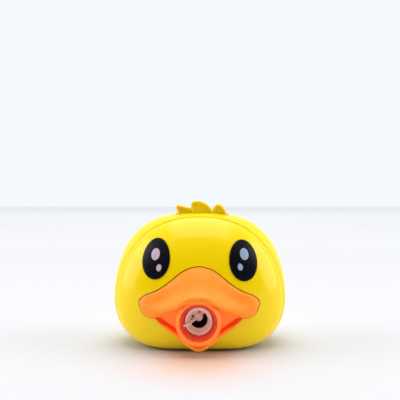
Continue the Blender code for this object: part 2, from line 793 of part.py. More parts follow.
def build_gears(shop, white, steel):
    wiper, pump, compound = train_axes()
    motor = MOTOR_AXIS
    pinion = gear("motor_pinion", MOTOR_TEETH, motor, LAYER_MOTOR,
                  bearing_angle(motor, compound), PIN_BORE)
    shop.keep(pinion, steel)

    large = gear("compound_gear", COMPOUND_TEETH, compound, LAYER_MOTOR,
                 facing_gap(bearing_angle(compound, motor), COMPOUND_TEETH))
    small = gear("compound_gear_small", COMPOUND_SMALL_TEETH, compound,
                 (LAYER_PUMP[0], LAYER_MOTOR[0] + 0.001), bearing_angle(compound, pump))
    shop.join(large, small)
    shop.cut(large, rod("compound_bore", compound + Vector((0, -0.010, 0)), 0.020, PIN_BORE))
    shop.keep(large, white)

    large = gear("pump_gear", PUMP_TEETH, pump, LAYER_PUMP,
                 facing_gap(bearing_angle(pump, compound), PUMP_TEETH))
    small = gear("pump_gear_small", PUMP_SMALL_TEETH, pump,
                 (LAYER_WIPER[0], LAYER_PUMP[0] + 0.001), bearing_angle(pump, wiper))
    shop.join(large, small)
    shop.cut(large, rod("pump_gear_bore", pump + Vector((0, -0.010, 0)), 0.020, PIN_BORE))
    shop.keep(large, white)

    last = gear("wiper_gear", WIPER_TEETH, wiper, LAYER_WIPER,
                facing_gap(bearing_angle(wiper, pump), WIPER_TEETH), PIN_BORE)
    shop.keep(last, white)

    pins = (("wiper_shaft", wiper, HUB_FRONT + 0.0016, 0.0073),
            ("pump_shaft", pump, -0.0078, 0.0163),
            ("compound_gear_pin", compound, -0.0077, 0.0072),
            ("motor_shaft", motor, -0.0182, 0.0092))
    for name, axis, start, end in pins:
        pin = rod(name, axis + Vector((0, start, 0)), end - start, PIN_RADIUS, segments=16)
        shop.keep(pin, steel)


def build_gear_plates(shop, material):
    """Two plates that carry the pins, the front one with three posts between them."""
    wiper, pump, compound = train_axes()
    outline = [(-0.0120, 0.0090), (0.0150, 0.0090), (0.0290, 0.0380), (0.0290, 0.0660),
               (0.0180, 0.0780), (-0.0100, 0.0780), (-0.0120, 0.0740)]
    axes = (wiper, pump, compound, MOTOR_AXIS)
    for name, layer in (("gearbox_front_plate", FRONT_PLATE), ("gearbox_rear_plate", REAR_PLATE)):
        holes = [circle(PIN_BORE, 16, (axis.x, axis.z)) for axis in axes]
        plate = outline_plate(name, [outline] + holes, Vector(), layer)
        if name == "gearbox_front_plate":
            for number, (x, z) in enumerate(((0.0118, 0.0118), (-0.0098, 0.0450),
                                             (0.0150, 0.0750)), 1):
                start = Vector((x, FRONT_PLATE[1] - 0.0005, z))
                length = REAR_PLATE[0] - GAP - start.y
                shop.join(plate, rod(f"gearbox_post_{number}", start, length, 0.0018, segments=12))
        shop.keep(plate, material)


# ---------------------------------------------------------------- fan, duct and motor

def build_fan(shop, material, housing_material):
    impeller = rod("fan_impeller", MOTOR_AXIS + Vector((0, -0.0104, 0)), 0.0010, 0.0150,
                   segments=32)
    hub = rod("fan_hub", MOTOR_AXIS + Vector((0, -0.0178, 0)), 0.0080, 0.0030)
    blades = bmesh.new()
    for k in range(9):
        turn = Matrix.Rotation(2 * math.pi * k / 9, 4, "Y")
        blade = Matrix.Translation(MOTOR_AXIS + Vector((0, -0.0138, 0))) @ turn
        blade = blade @ Matrix.Translation((0.0085, 0, 0)) @ Matrix.Diagonal((0.0120, 0.0074,
                                                                              0.0010, 1.0))
        bmesh.ops.create_cube(blades, size=1.0, matrix=blade)
    shop.join(impeller, hub, mesh_object("fan_blades", blades))
    shop.cut(impeller, rod("fan_bore", MOTOR_AXIS + Vector((0, -0.020, 0)), 0.014, PIN_BORE))
    shop.keep(impeller, material)

    front, rear = FAN_Y
    casing = rod("fan_housing", MOTOR_AXIS + Vector((0, front, 0)), rear - front, FAN_RADIUS,
                 segments=32)
    outlet = block("fan_outlet", (-0.0140, front, 0.0440), (-0.0030, rear, MOTOR_AXIS.z))
    chamber = rod("fan_chamber", MOTOR_AXIS + Vector((0, front + 0.0012, 0)), 0.014,
                  FAN_RADIUS - 0.0014, segments=32)
    passage = block("fan_passage", (-0.0126, front + 0.0012, 0.0430),
                    (-0.0044, rear + 0.002, MOTOR_AXIS.z - 0.004))
    intake = rod("fan_intake", MOTOR_AXIS + Vector((0, front - 0.001, 0)), 0.004, 0.0065)
    shop.join(casing, outlet)
    shop.cut(casing, chamber, passage, intake)
    shop.keep(casing, housing_material)


def build_air_duct(shop, material):
    """Box channel down from the fan into a round chamber behind the film ring."""
    rear = -0.0090
    duct = rod("air_duct", NOZZLE + Vector((0, -0.0237, 0)), rear + 0.0237, 0.0125, segments=36)
    channel = block("duct_channel", (-0.0140, FAN_Y[0], NOZZLE.z), (-0.0030, rear, 0.0437))
    chamber = rod("duct_chamber", NOZZLE + Vector((0, -0.025, 0)), 0.0147, 0.0112, segments=36)
    passage = block("duct_passage", (-0.0126, FAN_Y[0] + 0.0012, NOZZLE.z),
                    (-0.0044, -0.0103, 0.0460))
    shop.join(duct, channel)
    shop.cut(duct, chamber, passage)
    shop.cut(duct, rod("duct_shaft_hole", NOZZLE + Vector((0, -0.012, 0)), 0.006, PIN_BORE))
    return shop.keep(duct, material)


def build_motor(shop, can_material, cap_material):
    can = rod("motor", MOTOR_AXIS + Vector((0, MOTOR_Y[0], 0)), 0.0205, MOTOR_RADIUS, segments=36)
    flats = block("motor_flats", (-0.010, 0.0, MOTOR_AXIS.z - 0.0075),
                  (0.020, 0.040, MOTOR_AXIS.z + 0.0075))
    shop.common(can, flats)
    shop.cut(can, rod("motor_bearing", MOTOR_AXIS + Vector((0, 0.006, 0)), 0.0036, PIN_BORE))
    shop.keep(can, can_material)
    cap = rod("motor_end_cap", MOTOR_AXIS + Vector((0, MOTOR_Y[0] + 0.0208, 0)), 0.0042, 0.0096,
              segments=36)
    shop.common(cap, flats)
    shop.keep(cap, cap_material)


# ---------------------------------------------------------------- pump and tubes

def build_pump(shop, housing_material, rotor_material, steel):
    _, pump, _ = train_axes()
    rear = REAR_PLATE[1] + GAP
    track = []
    for radius, angles in ((0.0142, range(-84, 85, 12)), (0.0127, range(84, -85, -12))):
        for degrees in angles:
            turn = math.radians(degrees)
            track.append((radius * math.cos(turn), radius * math.sin(turn)))
    shop.keep(outline_plate("pump_track", [track], pump, (rear, 0.0166)), housing_material)

    rotor = rod("pump_rotor", pump + Vector((0, rear + 0.0002, 0)), 0.0010, 0.0086, segments=28)
    rotor_hub = rod("pump_rotor_hub", pump + Vector((0, rear + 0.0002, 0)), 0.0080, 0.0030)
    shop.join(rotor, rotor_hub)
    shop.cut(rotor, rod("pump_rotor_bore", pump, 0.030, PIN_BORE))
    for number in range(3):
        spot = roller_axis(pump, number)
        start = spot + Vector((0, rear + 0.0005, 0))
        shop.join(rotor, rod(f"roller_pin_{number + 1}", start, 0.0082, 0.0007, segments=10))
        profile = ((ROLLER_RADIUS, 0.0161), (ROLLER_RADIUS, 0.0094), (PIN_RADIUS, 0.0094),
                   (PIN_RADIUS, 0.0161))
        roller = turned(f"pump_roller_{number + 1}", profile, spot, segments=16)
        shop.keep(roller, steel)
    shop.keep(rotor, rotor_material)


def roller_axis(pump, number):
    turn = 2 * math.pi * number / 3 + math.radians(90.0)
    return pump + ROLLER_CIRCLE * Vector((math.cos(turn), 0.0, math.sin(turn)))


BAY_TOP = 0.0590
BAY_NIPPLES = (Vector((-0.0250, -0.0040, 0.0)), Vector((-0.0250, 0.0060, 0.0)))
NIPPLE_TOP = BAY_TOP + 0.0030


def build_tubes(shop, material):
    """Feed tube from the bottle, and return tube from the cup, both squeezed by one pump."""
    _, pump, _ = train_axes()
    names = ("feed_tube", "return_tube")
    for name, plane, nipple, cup_x in zip(names, TUBE_PLANES, BAY_NIPPLES, NIPPLE_X):
        loop = []
        for degrees in range(100, -101, -20):
            turn = math.radians(degrees)
            loop.append(pump + TUBE_LOOP * Vector((math.cos(turn), 0.0, math.sin(turn)))
                        + Vector((0, plane, 0)))
        top = NIPPLE_TOP + GAP
        crossing = (nipple.y + plane) / 2
        over = [Vector((nipple.x, nipple.y, top)), Vector((nipple.x, nipple.y, top + 0.0012)),
                Vector((nipple.x, nipple.y, top + 0.0030)),
                Vector((-0.0190, crossing, top + 0.0066)),
                Vector((-0.0115, plane, 0.0625)), Vector((-0.0080, plane, 0.0540)),
                Vector((-0.0030, plane, 0.0483))]
        side = -0.0066 if name == "feed_tube" else -0.0018
        under = [Vector((-0.0010, plane, 0.0262)), Vector((side - 0.001, plane, 0.0190)),
                 Vector((side, plane, 0.0095)), Vector((side, plane - 0.0035, 0.0056)),
                 Vector((side, -0.0020, 0.0052)), Vector((cup_x, -0.0180, 0.0052)),
                 Vector((cup_x, -0.0252, 0.0052)), Vector((cup_x, NIPPLE_Y, 0.0066)),
                 Vector((cup_x, NIPPLE_Y, NIPPLE_FOOT - GAP))]
        route = over + loop + under
        shop.keep(tube_curve(name, route, TUBE_RADIUS), material)


# ---------------------------------------------------------------- bottle

def build_bottle(shop, bottle_material, bay_material, rubber):
    inner, neck_bore = BOTTLE_RADIUS - BOTTLE_WALL, NECK_RADIUS - BOTTLE_WALL
    foot, shoulder, throat = BOTTLE_FOOT, 0.0420, 0.0455
    outside = ((NECK_RADIUS, NECK_TOP), (NECK_RADIUS, throat), (BOTTLE_RADIUS, shoulder),
               (BOTTLE_RADIUS, foot + 0.0012), (BOTTLE_RADIUS - 0.0012, foot), (0.0, foot))
    inside = ((0.0, foot + BOTTLE_WALL), (inner, foot + BOTTLE_WALL + 0.0004),
              (inner, shoulder - 0.0004), (neck_bore, throat - 0.0004), (neck_bore, NECK_TOP))
    shop.keep(turned("bottle", outside + inside, BOTTLE, "Z", 32), bottle_material)

    ring = ((NECK_RADIUS + 0.0010, 0.0563), (NECK_RADIUS + 0.0010, NECK_TOP + GAP),
            (neck_bore, NECK_TOP + GAP), (neck_bore, 0.0563))
    shop.keep(turned("bottle_gasket", ring, BOTTLE, "Z", 28), rubber)

    sleeve = BOTTLE_RADIUS + 0.0006
    bay_shape = ((0.0, BAY_TOP), (sleeve + 0.0009, BAY_TOP), (sleeve + 0.0009, 0.0060),
                 (sleeve, 0.0060), (sleeve, 0.0566), (0.0, 0.0566))
    bay = turned("bottle_bay", bay_shape, BOTTLE, "Z", 32)
    for number, nipple in enumerate(BAY_NIPPLES, 1):
        start = Vector((nipple.x, nipple.y, BAY_TOP - 0.0010))
        shop.join(bay, rod(f"bay_nipple_{number}", start, NIPPLE_TOP - start.z, TUBE_RADIUS, "Z",
                           12))
    shop.keep(bay, bay_material)

    dip = rod("dip_tube", Vector((-0.0345, 0.0010, 0.0050)), 0.0510, 0.0014, "Z", 12)
    shop.keep(dip, bottle_material)


# ---------------------------------------------------------------- batteries and controls

def build_battery_box(shop, material, cell_material, steel):
    outer = block("battery_box", (-0.0322, 0.0171, 0.0058), (0.0322, 0.0275, 0.0535))
    inner = block("battery_hollow", (-0.0310, 0.0183, 0.0068), (0.0310, 0.0400, 0.0525))
    shop.cut(outer, inner)
    shop.keep(outer, material)
    for number, height in enumerate(CELL_HEIGHTS, 1):
        flip = 1.0 if number % 2 else -1.0
        cell = rod(f"battery_{number}", (-CELL_LENGTH / 2, CELL_Y, height), CELL_LENGTH,
                   CELL_RADIUS, "X", 28)
        base, tip = flip * (CELL_LENGTH / 2 - 0.0002), flip * (CELL_LENGTH / 2 + NUB_LENGTH)
        nub = rod(f"battery_nub_{number}", (min(base, tip), CELL_Y, height), abs(tip - base),
                  NUB_RADIUS, "X", 16)
        shop.join(cell, nub)
        shop.keep(cell, cell_material)

        plate_x = flip * 0.0301
        plate = block(f"contact_plate_{number}", (plate_x - 0.0003, CELL_Y - 0.004, height - 0.005),
                      (plate_x + 0.0003, CELL_Y + 0.004, height + 0.005))
        shop.keep(soften(plate, 0.0008), steel)

        coil = []
        turns, per_turn = 2, 9
        start_x, end_x = -flip * (CELL_LENGTH / 2 + 0.0008), -flip * 0.0303
        for k in range(turns * per_turn + 1):
            share = k / (turns * per_turn)
            radius = 0.0025 + 0.0017 * share
            turn = 2 * math.pi * turns * share
            coil.append(Vector((start_x + (end_x - start_x) * share,
                                CELL_Y + radius * math.cos(turn),
                                height + radius * math.sin(turn))))
        shop.keep(tube_curve(f"contact_spring_{number}", coil, 0.00035), steel)


def build_screws(shop, steel):
    profile = ((0.0, 0.0018), (0.0018, 0.0018), (0.0026, 0.0012), (0.0026, 0.0),
               (0.0013, 0.0), (0.0013, 0.0020 - SCREW_LENGTH), (0.0, -SCREW_LENGTH))
    for number, (x, z) in enumerate(SCREWS, 1):
        centre = Vector((x, SCREW_SEAT + GAP, z))
        shop.keep(turned(f"shell_screw_{number}", profile, centre, segments=16), steel)
    short = tuple((radius, max(height, -0.0058)) for radius, height in profile[:6])
    door = turned("door_screw", short + ((0.0, -0.0064),), Vector((0, 0.0405, 0.0505)),
                  segments=16)
    shop.keep(door, steel)


CREST_OUTLINE = ((-0.0165, 0.0870), (-0.0165, 0.0952), (-0.0174, 0.0984), (-0.0162, 0.0999),
                 (-0.0120, 0.0993), (-0.0062, 0.0975), (-0.0064, 0.1008), (-0.0046, 0.1025),
                 (-0.0012, 0.1030), (0.0030, 0.1018), (0.0073, 0.0986), (0.0090, 0.0957),
                 (0.0098, 0.0985), (0.0120, 0.1004), (0.0150, 0.0998), (0.0180, 0.0970),
                 (0.0198, 0.0936), (0.0198, 0.0870))


def build_button(shop, crest_material, white, steel, board_material):
    """Three feathers in one push button, with its spring and switch on a small board."""
    outline = CREST_OUTLINE[::-1]
    crest = outline_plate("crest_button", [outline], Vector(), CREST_Y)
    flange = block("crest_flange", (-0.0186, CREST_Y[0] - 0.0012, 0.0862),
                   (0.0218, CREST_Y[1] + 0.0012, 0.0876))
    stem = rod("crest_stem", (0.0080, -0.0040, 0.0862), 0.0020, 0.0020, "Z", 12)
    shop.join(crest, flange, stem)
    shop.keep(crest, crest_material)

    board = block("circuit_board", (-0.0140, -0.0062, 0.0786), (0.0160, 0.0060, 0.0802))
    shop.keep(board, board_material)
    switch = block("button_switch", (0.0050, -0.0058, 0.0805), (0.0110, 0.0002, 0.0838))
    plunger = rod("switch_plunger", (0.0080, -0.0040, 0.0830), 0.0015, 0.0014, "Z", 12)
    shop.join(switch, plunger)
    shop.keep(switch, white)

    coil = []
    turns, per_turn, low, high = 3, 8, 0.0808, 0.0856
    for k in range(turns * per_turn + 1):
        share = k / (turns * per_turn)
        turn = 2 * math.pi * turns * share
        coil.append(Vector((-0.0080 + 0.0020 * math.cos(turn), -0.0032 + 0.0020 * math.sin(turn),
                            low + (high - low) * share)))
    shop.keep(tube_curve("button_spring", coil, 0.00028), steel)


# ---------------------------------------------------------------- whole object

def main():
    clear_scene()
    shop = Workshop()
    yellow = plastic("yellow_plastic", YELLOW, 0.18)
    orange = plastic("orange_plastic", ORANGE, 0.30)
    mouth = plastic("mouth_plastic", MOUTH_ORANGE, 0.30)
    black = plastic("eye_black", (0.01, 0.012, 0.02), 0.15)
    clear = plastic("clear_plastic", (0.85, 0.62, 0.58), 0.12, transmission=0.7)
    white = plastic("white_plastic", WHITE_PLASTIC, 0.35)
    grey = plastic("grey_plastic", (0.35, 0.36, 0.38), 0.45)
    steel = plastic("steel", STEEL, 0.28, metallic=1.0)
    rubber = plastic("rubber", (0.75, 0.76, 0.78), 0.6)
    silicone = plastic("silicone", (0.85, 0.86, 0.86), 0.35, transmission=0.4)
    cell = plastic("cell_jacket", (0.05, 0.14, 0.32), 0.3)
    board = plastic("board_green", (0.03, 0.22, 0.09), 0.4)

    forms = (("wall_middle", -WALL / 2), ("skin_clearance", GAP), ("eye_face", EYE_PROUD),
             ("panel_face", PANEL_PROUD))
    for name, grow in forms:
        place(hide_tool(head_solid(name, grow)), shop.tools)

    build_front_shell(shop, yellow)
    build_rear_shell(shop, yellow)
    build_battery_door(shop, yellow)
    build_eye(shop, "eye_left", -1.0, black)
    build_eye(shop, "eye_right", 1.0, black)
    build_bill(shop, orange)
    build_mouth_panel(shop, mouth)

    build_film_ring(shop, clear)
    build_drip_cup(shop, clear)
    build_wiper(shop, clear)
    build_gears(shop, white, steel)
    build_gear_plates(shop, grey)
    build_fan(shop, white, grey)
    build_air_duct(shop, grey)
    build_motor(shop, steel, white)
    build_pump(shop, white, grey, steel)
    build_tubes(shop, silicone)

    build_bottle(shop, clear, white, rubber)
    build_battery_box(shop, grey, cell, steel)
    build_screws(shop, steel)
    build_button(shop, yellow, white, steel, board)


main()
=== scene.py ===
"""Looks of the duck-head bubble machine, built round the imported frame. Metres, +Z up."""

import json
import math

import bmesh
import bpy
from mathutils import Matrix, Vector


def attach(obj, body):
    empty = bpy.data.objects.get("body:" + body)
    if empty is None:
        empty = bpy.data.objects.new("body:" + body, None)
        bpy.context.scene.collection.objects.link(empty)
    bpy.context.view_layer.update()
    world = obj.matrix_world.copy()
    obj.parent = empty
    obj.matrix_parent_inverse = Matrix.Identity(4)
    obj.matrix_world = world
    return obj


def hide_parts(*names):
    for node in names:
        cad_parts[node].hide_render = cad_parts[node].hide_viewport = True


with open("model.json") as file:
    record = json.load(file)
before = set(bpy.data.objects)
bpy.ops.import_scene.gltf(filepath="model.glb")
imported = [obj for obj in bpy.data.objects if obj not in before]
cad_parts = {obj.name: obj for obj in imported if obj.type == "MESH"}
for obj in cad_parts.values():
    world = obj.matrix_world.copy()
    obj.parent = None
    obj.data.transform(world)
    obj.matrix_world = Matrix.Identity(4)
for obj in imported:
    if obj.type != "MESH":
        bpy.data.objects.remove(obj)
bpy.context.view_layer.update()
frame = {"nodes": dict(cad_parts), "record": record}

# ---------------------------------------------------------------- the head's form

HALF_WIDTH = 0.0625
WIDEST_HEIGHT = 0.0323
CROWN_RISE = 0.0624
BELLY_DROP = 0.0337
HALF_DEPTH = 0.041
DEPTH_CENTRE = 0.001
CROWN_POWERS = (2.8, 2.2)
BROW_POWERS = (2.2, 2.05)
BROW_SHARE = 0.40
BELLY_POWERS = (4.7, 1.8)
SIDE_POWER = 2.4
BELLY_DEPTH_POWER = 4.0
PARTING_Y = -0.015
WALL = 0.002

# Openings in the shells: nozzle, battery door, crest slot, bottle and screws.
NOZZLE = Vector((0.0, 0.0, 0.0232))
COLLAR_RADIUS = 0.01485
COLLAR_BORE = 0.0123
COLLAR_FRONT = -0.0522
NOZZLE_OPENING = 0.0152
DOOR_OPENING = ((-0.033, 0.022, 0.006), (0.033, 0.060, 0.054))
CREST_SLOT = ((-0.0171, -0.0085, 0.084), (0.0204, 0.0005, 0.100))
BOTTLE_AXIS = (-0.029, 0.001)
BOTTLE_OPENING = 0.0146
SCREWS = ((-0.050, 0.022), (0.050, 0.022), (-0.034, 0.074), (0.034, 0.074))
SCREW_SEAT = 0.010
SCREW_HEAD_ROOM = 0.0030


def power_reach(across, up, powers):
    """How far a ray runs before it meets |x|^p + |z|^q = 1."""
    low, high = 0.5, 1.6
    for _ in range(26):
        middle = (low + high) / 2
        if (middle * abs(across)) ** powers[0] + (middle * abs(up)) ** powers[1] < 1.0:
            low = middle
        else:
            high = middle
    return low


def head_scales(span):
    span = min(abs(span), 1.0)
    side = (1.0 - span ** SIDE_POWER) ** (1 / SIDE_POWER)
    belly = (1.0 - span ** BELLY_DEPTH_POWER) ** (1 / BELLY_DEPTH_POWER)
    return side, belly


def crown_powers(share):
    """Powers of the crown's outline, which is rounder towards the front."""
    t = min(max(-share / BROW_SHARE, 0.0), 1.0)
    t = t * t * (3 - 2 * t)
    return tuple(a + (b - a) * t for a, b in zip(CROWN_POWERS, BROW_POWERS))


SEGMENTS = 192
TURNS = [2 * math.pi * k / SEGMENTS for k in range(SEGMENTS)]


def head_ring(y, grow):
    """Outline of the head, grown or shrunk, in the plane at y."""
    share = (y - DEPTH_CENTRE) / (HALF_DEPTH + grow)
    side, belly = head_scales(share)
    crown = crown_powers(share)
    ring = []
    for turn in TURNS:
        across, up = math.cos(turn), math.sin(turn)
        reach = power_reach(across, up, crown if up >= 0.0 else BELLY_POWERS)
        rise = (CROWN_RISE + grow) * side if up >= 0.0 else (BELLY_DROP + grow) * belly
        z = WIDEST_HEIGHT + rise * reach * up
        ring.append(Vector(((HALF_WIDTH + grow) * side * reach * across, y, max(z, -grow))))
    return ring


def head_surface(x, z, front=True, grow=0.0):
    """The y of the head's front or rear surface over a point (x, z)."""
    low, high = 0.0, 1.0
    upper = z >= WIDEST_HEIGHT
    for _ in range(32):
        middle = (low + high) / 2
        side, belly = head_scales(middle)
        powers = crown_powers(-middle if front else middle) if upper else BELLY_POWERS
        rise = (CROWN_RISE + grow) * side if upper else (BELLY_DROP + grow) * belly
        width = abs(x) / max((HALF_WIDTH + grow) * side, 1e-9)
        height = abs(z - WIDEST_HEIGHT) / max(rise, 1e-9)
        if width ** powers[0] + height ** powers[1] < 1.0:
            low = middle
        else:
            high = middle
    reach = low * (HALF_DEPTH + grow)
    return DEPTH_CENTRE - reach if front else DEPTH_CENTRE + reach


def between(pairs, x):
    """Smooth value at x through a short list of (x, value)."""
    x = min(max(x, pairs[0][0]), pairs[-1][0])
    last = len(pairs) - 1
    k = min(max(i for i in range(len(pairs)) if pairs[i][0] <= x), last - 1)
    (x0, v0), (x1, v1) = pairs[k], pairs[k + 1]

    def slope(i):
        i0, i1 = max(i - 1, 0), min(i + 1, last)
        return (pairs[i1][1] - pairs[i0][1]) / (pairs[i1][0] - pairs[i0][0])
    span = x1 - x0
    t = (x - x0) / span
    start = slope(k) * span if k else 0.0
    stop = slope(k + 1) * span
    return (v0 * (2 * t**3 - 3 * t**2 + 1) + v1 * (3 * t**2 - 2 * t**3)
            + start * (t**3 - 2 * t**2 + t) + stop * (t**3 - t**2))


# ---------------------------------------------------------------- mesh helpers

SMOOTH_ANGLE = 32.0


def link(item):
    bpy.context.scene.collection.objects.link(item)
    return item


def mesh_object(name, shape, smooth_angle=SMOOTH_ANGLE):
    mesh = bpy.data.meshes.new(name)
    shape.to_mesh(mesh)
    shape.free()
    mesh.shade_smooth()
    mesh.set_sharp_from_angle(angle=math.radians(smooth_angle))
    return link(bpy.data.objects.new(name, mesh))


def face_outwards(shape):
    bmesh.ops.recalc_face_normals(shape, faces=shape.faces)
    if shape.calc_volume(signed=True) < 0.0:
        bmesh.ops.reverse_faces(shape, faces=shape.faces)


def loft(name, rings, poles=(None, None), smooth_angle=SMOOTH_ANGLE, looped=False):
    """Closed surface through rings of equally many points, with a pole or a cap at each end."""
    shape = bmesh.new()
    rows = [[shape.verts.new(point) for point in ring] for ring in rings]
    pairs = list(zip(rows, rows[1:])) + ([(rows[-1], rows[0])] if looped else [])
    for row, following in pairs:
        count = len(row)
        for k in range(count):
            after = (k + 1) % count
            shape.faces.new((row[k], row[after], following[after], following[k]))
    if not looped:
        for row, pole in ((rows[0], poles[0]), (rows[-1], poles[1])):
            if pole is None:
                shape.faces.new(row)
                continue
            tip = shape.verts.new(pole)
            for k, corner in enumerate(row):
                shape.faces.new((corner, row[(k + 1) % len(row)], tip))
    face_outwards(shape)
    return mesh_object(name, shape, smooth_angle)


def plate(name, front, back, smooth_angle=SMOOTH_ANGLE):
    """Closed plate between two grids of points of the same size."""
    shape = bmesh.new()
    rows, columns = len(front), len(front[0])
    grids = [[[shape.verts.new(point) for point in row] for row in grid] for grid in (front, back)]
    for grid in grids:
        for row, following in zip(grid, grid[1:]):
            for k in range(columns - 1):
                shape.faces.new((row[k], row[k + 1], following[k + 1], following[k]))
    border = ([(0, i) for i in range(columns)] + [(j, columns - 1) for j in range(1, rows)]
              + [(rows - 1, i) for i in range(columns - 2, -1, -1)]
              + [(j, 0) for j in range(rows - 2, 0, -1)])
    ahead, behind = grids
    for (j0, i0), (j1, i1) in zip(border, border[1:] + border[:1]):
        shape.faces.new((ahead[j0][i0], ahead[j1][i1], behind[j1][i1], behind[j0][i0]))
    face_outwards(shape)
    return mesh_object(name, shape, smooth_angle)


def circle_at(centre, radius, y, segments):
    turns = [2 * math.pi * k / segments for k in range(segments)]
    return [Vector((centre.x + radius * math.cos(a), y, centre.z + radius * math.sin(a)))
            for a in turns]


def turned(name, profile, segments=96):
    """Closed body turned about the nozzle's axis from a closed profile of (radius, y)."""
    return loft(name, [circle_at(NOZZLE, radius, y, segments) for radius, y in profile], looped=True)


def knob(name, profile, centre=NOZZLE, segments=64):
    """Solid knob turned about an axis along Y, its profile running from pole to pole."""
    rings = [circle_at(centre, radius, y, segments) for radius, y in profile[1:-1]]
    tips = tuple(Vector((centre.x, profile[end][1], centre.z)) for end in (0, -1))
    return loft(name, rings, tips)


def rounded(profile, radius, steps=4):
    """Round each corner of a closed profile by up to a radius."""
    result = []
    count = len(profile)
    for k in range(count):
        here = Vector(profile[k])
        before, after = Vector(profile[k - 1]), Vector(profile[(k + 1) % count])
        to_before, to_after = before - here, after - here
        reach = min(radius, 0.45 * to_before.length, 0.45 * to_after.length)
        start, end = here + to_before.normalized() * reach, here + to_after.normalized() * reach
        for step in range(steps + 1):
            t = step / steps
            result.append(tuple((1 - t)**2 * start + 2 * t * (1 - t) * here + t**2 * end))
    return result


def cut(item, tool_item):
    """Cut a piece by a solid for good, and remove the solid."""
    step = item.modifiers.new("Cut", "BOOLEAN")
    step.operation = "DIFFERENCE"
    step.solver = "EXACT"
    step.object = tool_item
    bpy.context.view_layer.update()
    evaluated = item.evaluated_get(bpy.context.evaluated_depsgraph_get())
    mesh = bpy.data.meshes.new_from_object(evaluated)
    item.modifiers.clear()
    item.data = mesh
    bpy.data.objects.remove(tool_item, do_unlink=True)
    mesh.shade_smooth()
    mesh.set_sharp_from_angle(angle=math.radians(SMOOTH_ANGLE))
    return item


def box_solid(corners):
    """Cutting box between two opposite corners."""
    low, high = (Vector(corner) for corner in corners)
    shape = bmesh.new()
    bmesh.ops.create_cube(shape, size=1.0, matrix=Matrix.Translation((low + high) / 2)
                          @ Matrix.Diagonal((*(high - low), 1.0)))
    return mesh_object("cutter", shape)


def rod_solid(start, length, radius, along="Y", segments=64):
    """Cutting cylinder from a point along an axis."""
    shape = bmesh.new()
    turn = {"X": Matrix.Rotation(math.radians(90.0), 4, "Y"),
            "Y": Matrix.Rotation(math.radians(-90.0), 4, "X"),
            "Z": Matrix.Identity(4)}[along]
    placing = Matrix.Translation(start) @ turn @ Matrix.Translation((0, 0, length / 2))
    bmesh.ops.create_cone(shape, cap_ends=True, segments=segments, radius1=radius,
                          radius2=radius, depth=length, matrix=placing)
    return mesh_object("cutter", shape)


def show(piece, material, body, slot, *nodes):
    """Give a piece its material and body, and hide the CAD nodes that it stands for. The slot
    argument is not used.
    """
    piece.data.materials.clear()
    piece.data.materials.append(material)
    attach(piece, body)
    for node in nodes:
        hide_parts(node)
    return piece


# ---------------------------------------------------------------- materials

class Recipe:
    """Small wrapper that adds and links shader nodes."""

    def __init__(self, name):
        self.material = bpy.data.materials.new(name)
        self.material.use_nodes = True
        self.tree = self.material.node_tree
        self.shader = self.tree.nodes["Principled BSDF"]

    def add(self, kind, **settings):
        """Add a node, and set its inputs or its properties by name."""
        node = self.tree.nodes.new(kind)
        for key, value in settings.items():
            if key in node.inputs:
                node.inputs[key].default_value = value
            else:
                setattr(node, key, value)
        return node

    def join(self, source, target):
        self.tree.links.new(source, target)

    def set(self, **values):
        """Set inputs of the shader, with an underscore for each space in a name."""
        for key, value in values.items():
            self.shader.inputs[key.replace("_", " ")].default_value = value

    def position(self):
        return self.add("ShaderNodeTexCoord").outputs["Object"]

    def noise(self, scale, detail=3.0, roughness=0.5):
        node = self.add("ShaderNodeTexNoise", Scale=scale, Detail=detail, Roughness=roughness)
        self.join(self.position(), node.inputs["Vector"])
        return node.outputs["Fac"]

    def ramp(self, source, stops):
        node = self.add("ShaderNodeValToRGB")
        elements = node.color_ramp.elements
        elements[0].position, elements[1].position = stops[0][0], stops[-1][0]
        elements[0].color, elements[1].color = stops[0][1], stops[-1][1]
        for place, color in stops[1:-1]:
            elements.new(place).color = color
        self.join(source, node.inputs["Fac"])
        return node.outputs["Color"]

    def value_range(self, source, low, high, from_low=0.35, from_high=0.65):
        node = self.add("ShaderNodeMapRange")
        node.inputs["From Min"].default_value = from_low
        node.inputs["From Max"].default_value = from_high
        node.inputs["To Min"].default_value = low
        node.inputs["To Max"].default_value = high
        self.join(source, node.inputs["Value"])
        return node.outputs["Result"]

    def bump(self, source, strength, distance):
        node = self.add("ShaderNodeBump", Strength=strength, Distance=distance)
        self.join(source, node.inputs["Height"])
        self.join(node.outputs["Normal"], self.shader.inputs["Normal"])
        return node


def shade(color, factor):
    return tuple(min(channel * factor, 1.0) for channel in color) + (1.0,)


def moulded(name, color, roughness, grain=900.0, bump=0.06, spread=0.05, coat=0.0, ior=1.5,
            **extra):
    """Moulded plastic: faint flow marks in colour, fine orange peel, uneven gloss."""
    recipe = Recipe(name)
    flow = recipe.noise(55.0, 4.0, 0.55)
    colour = recipe.ramp(flow, ((0.3, shade(color, 1.0 - spread)),
                                (0.7, shade(color, 1.0 + spread))))
    recipe.join(colour, recipe.shader.inputs["Base Color"])
    scuff = recipe.noise(420.0, 5.0, 0.7)
    recipe.join(recipe.value_range(scuff, roughness * 0.8, roughness * 1.25),
                recipe.shader.inputs["Roughness"])
    recipe.bump(recipe.noise(grain, 2.0, 0.5), bump, 0.0001)
    recipe.set(IOR=ior, Coat_Weight=coat, Coat_Roughness=0.03, **extra)
    return recipe.material


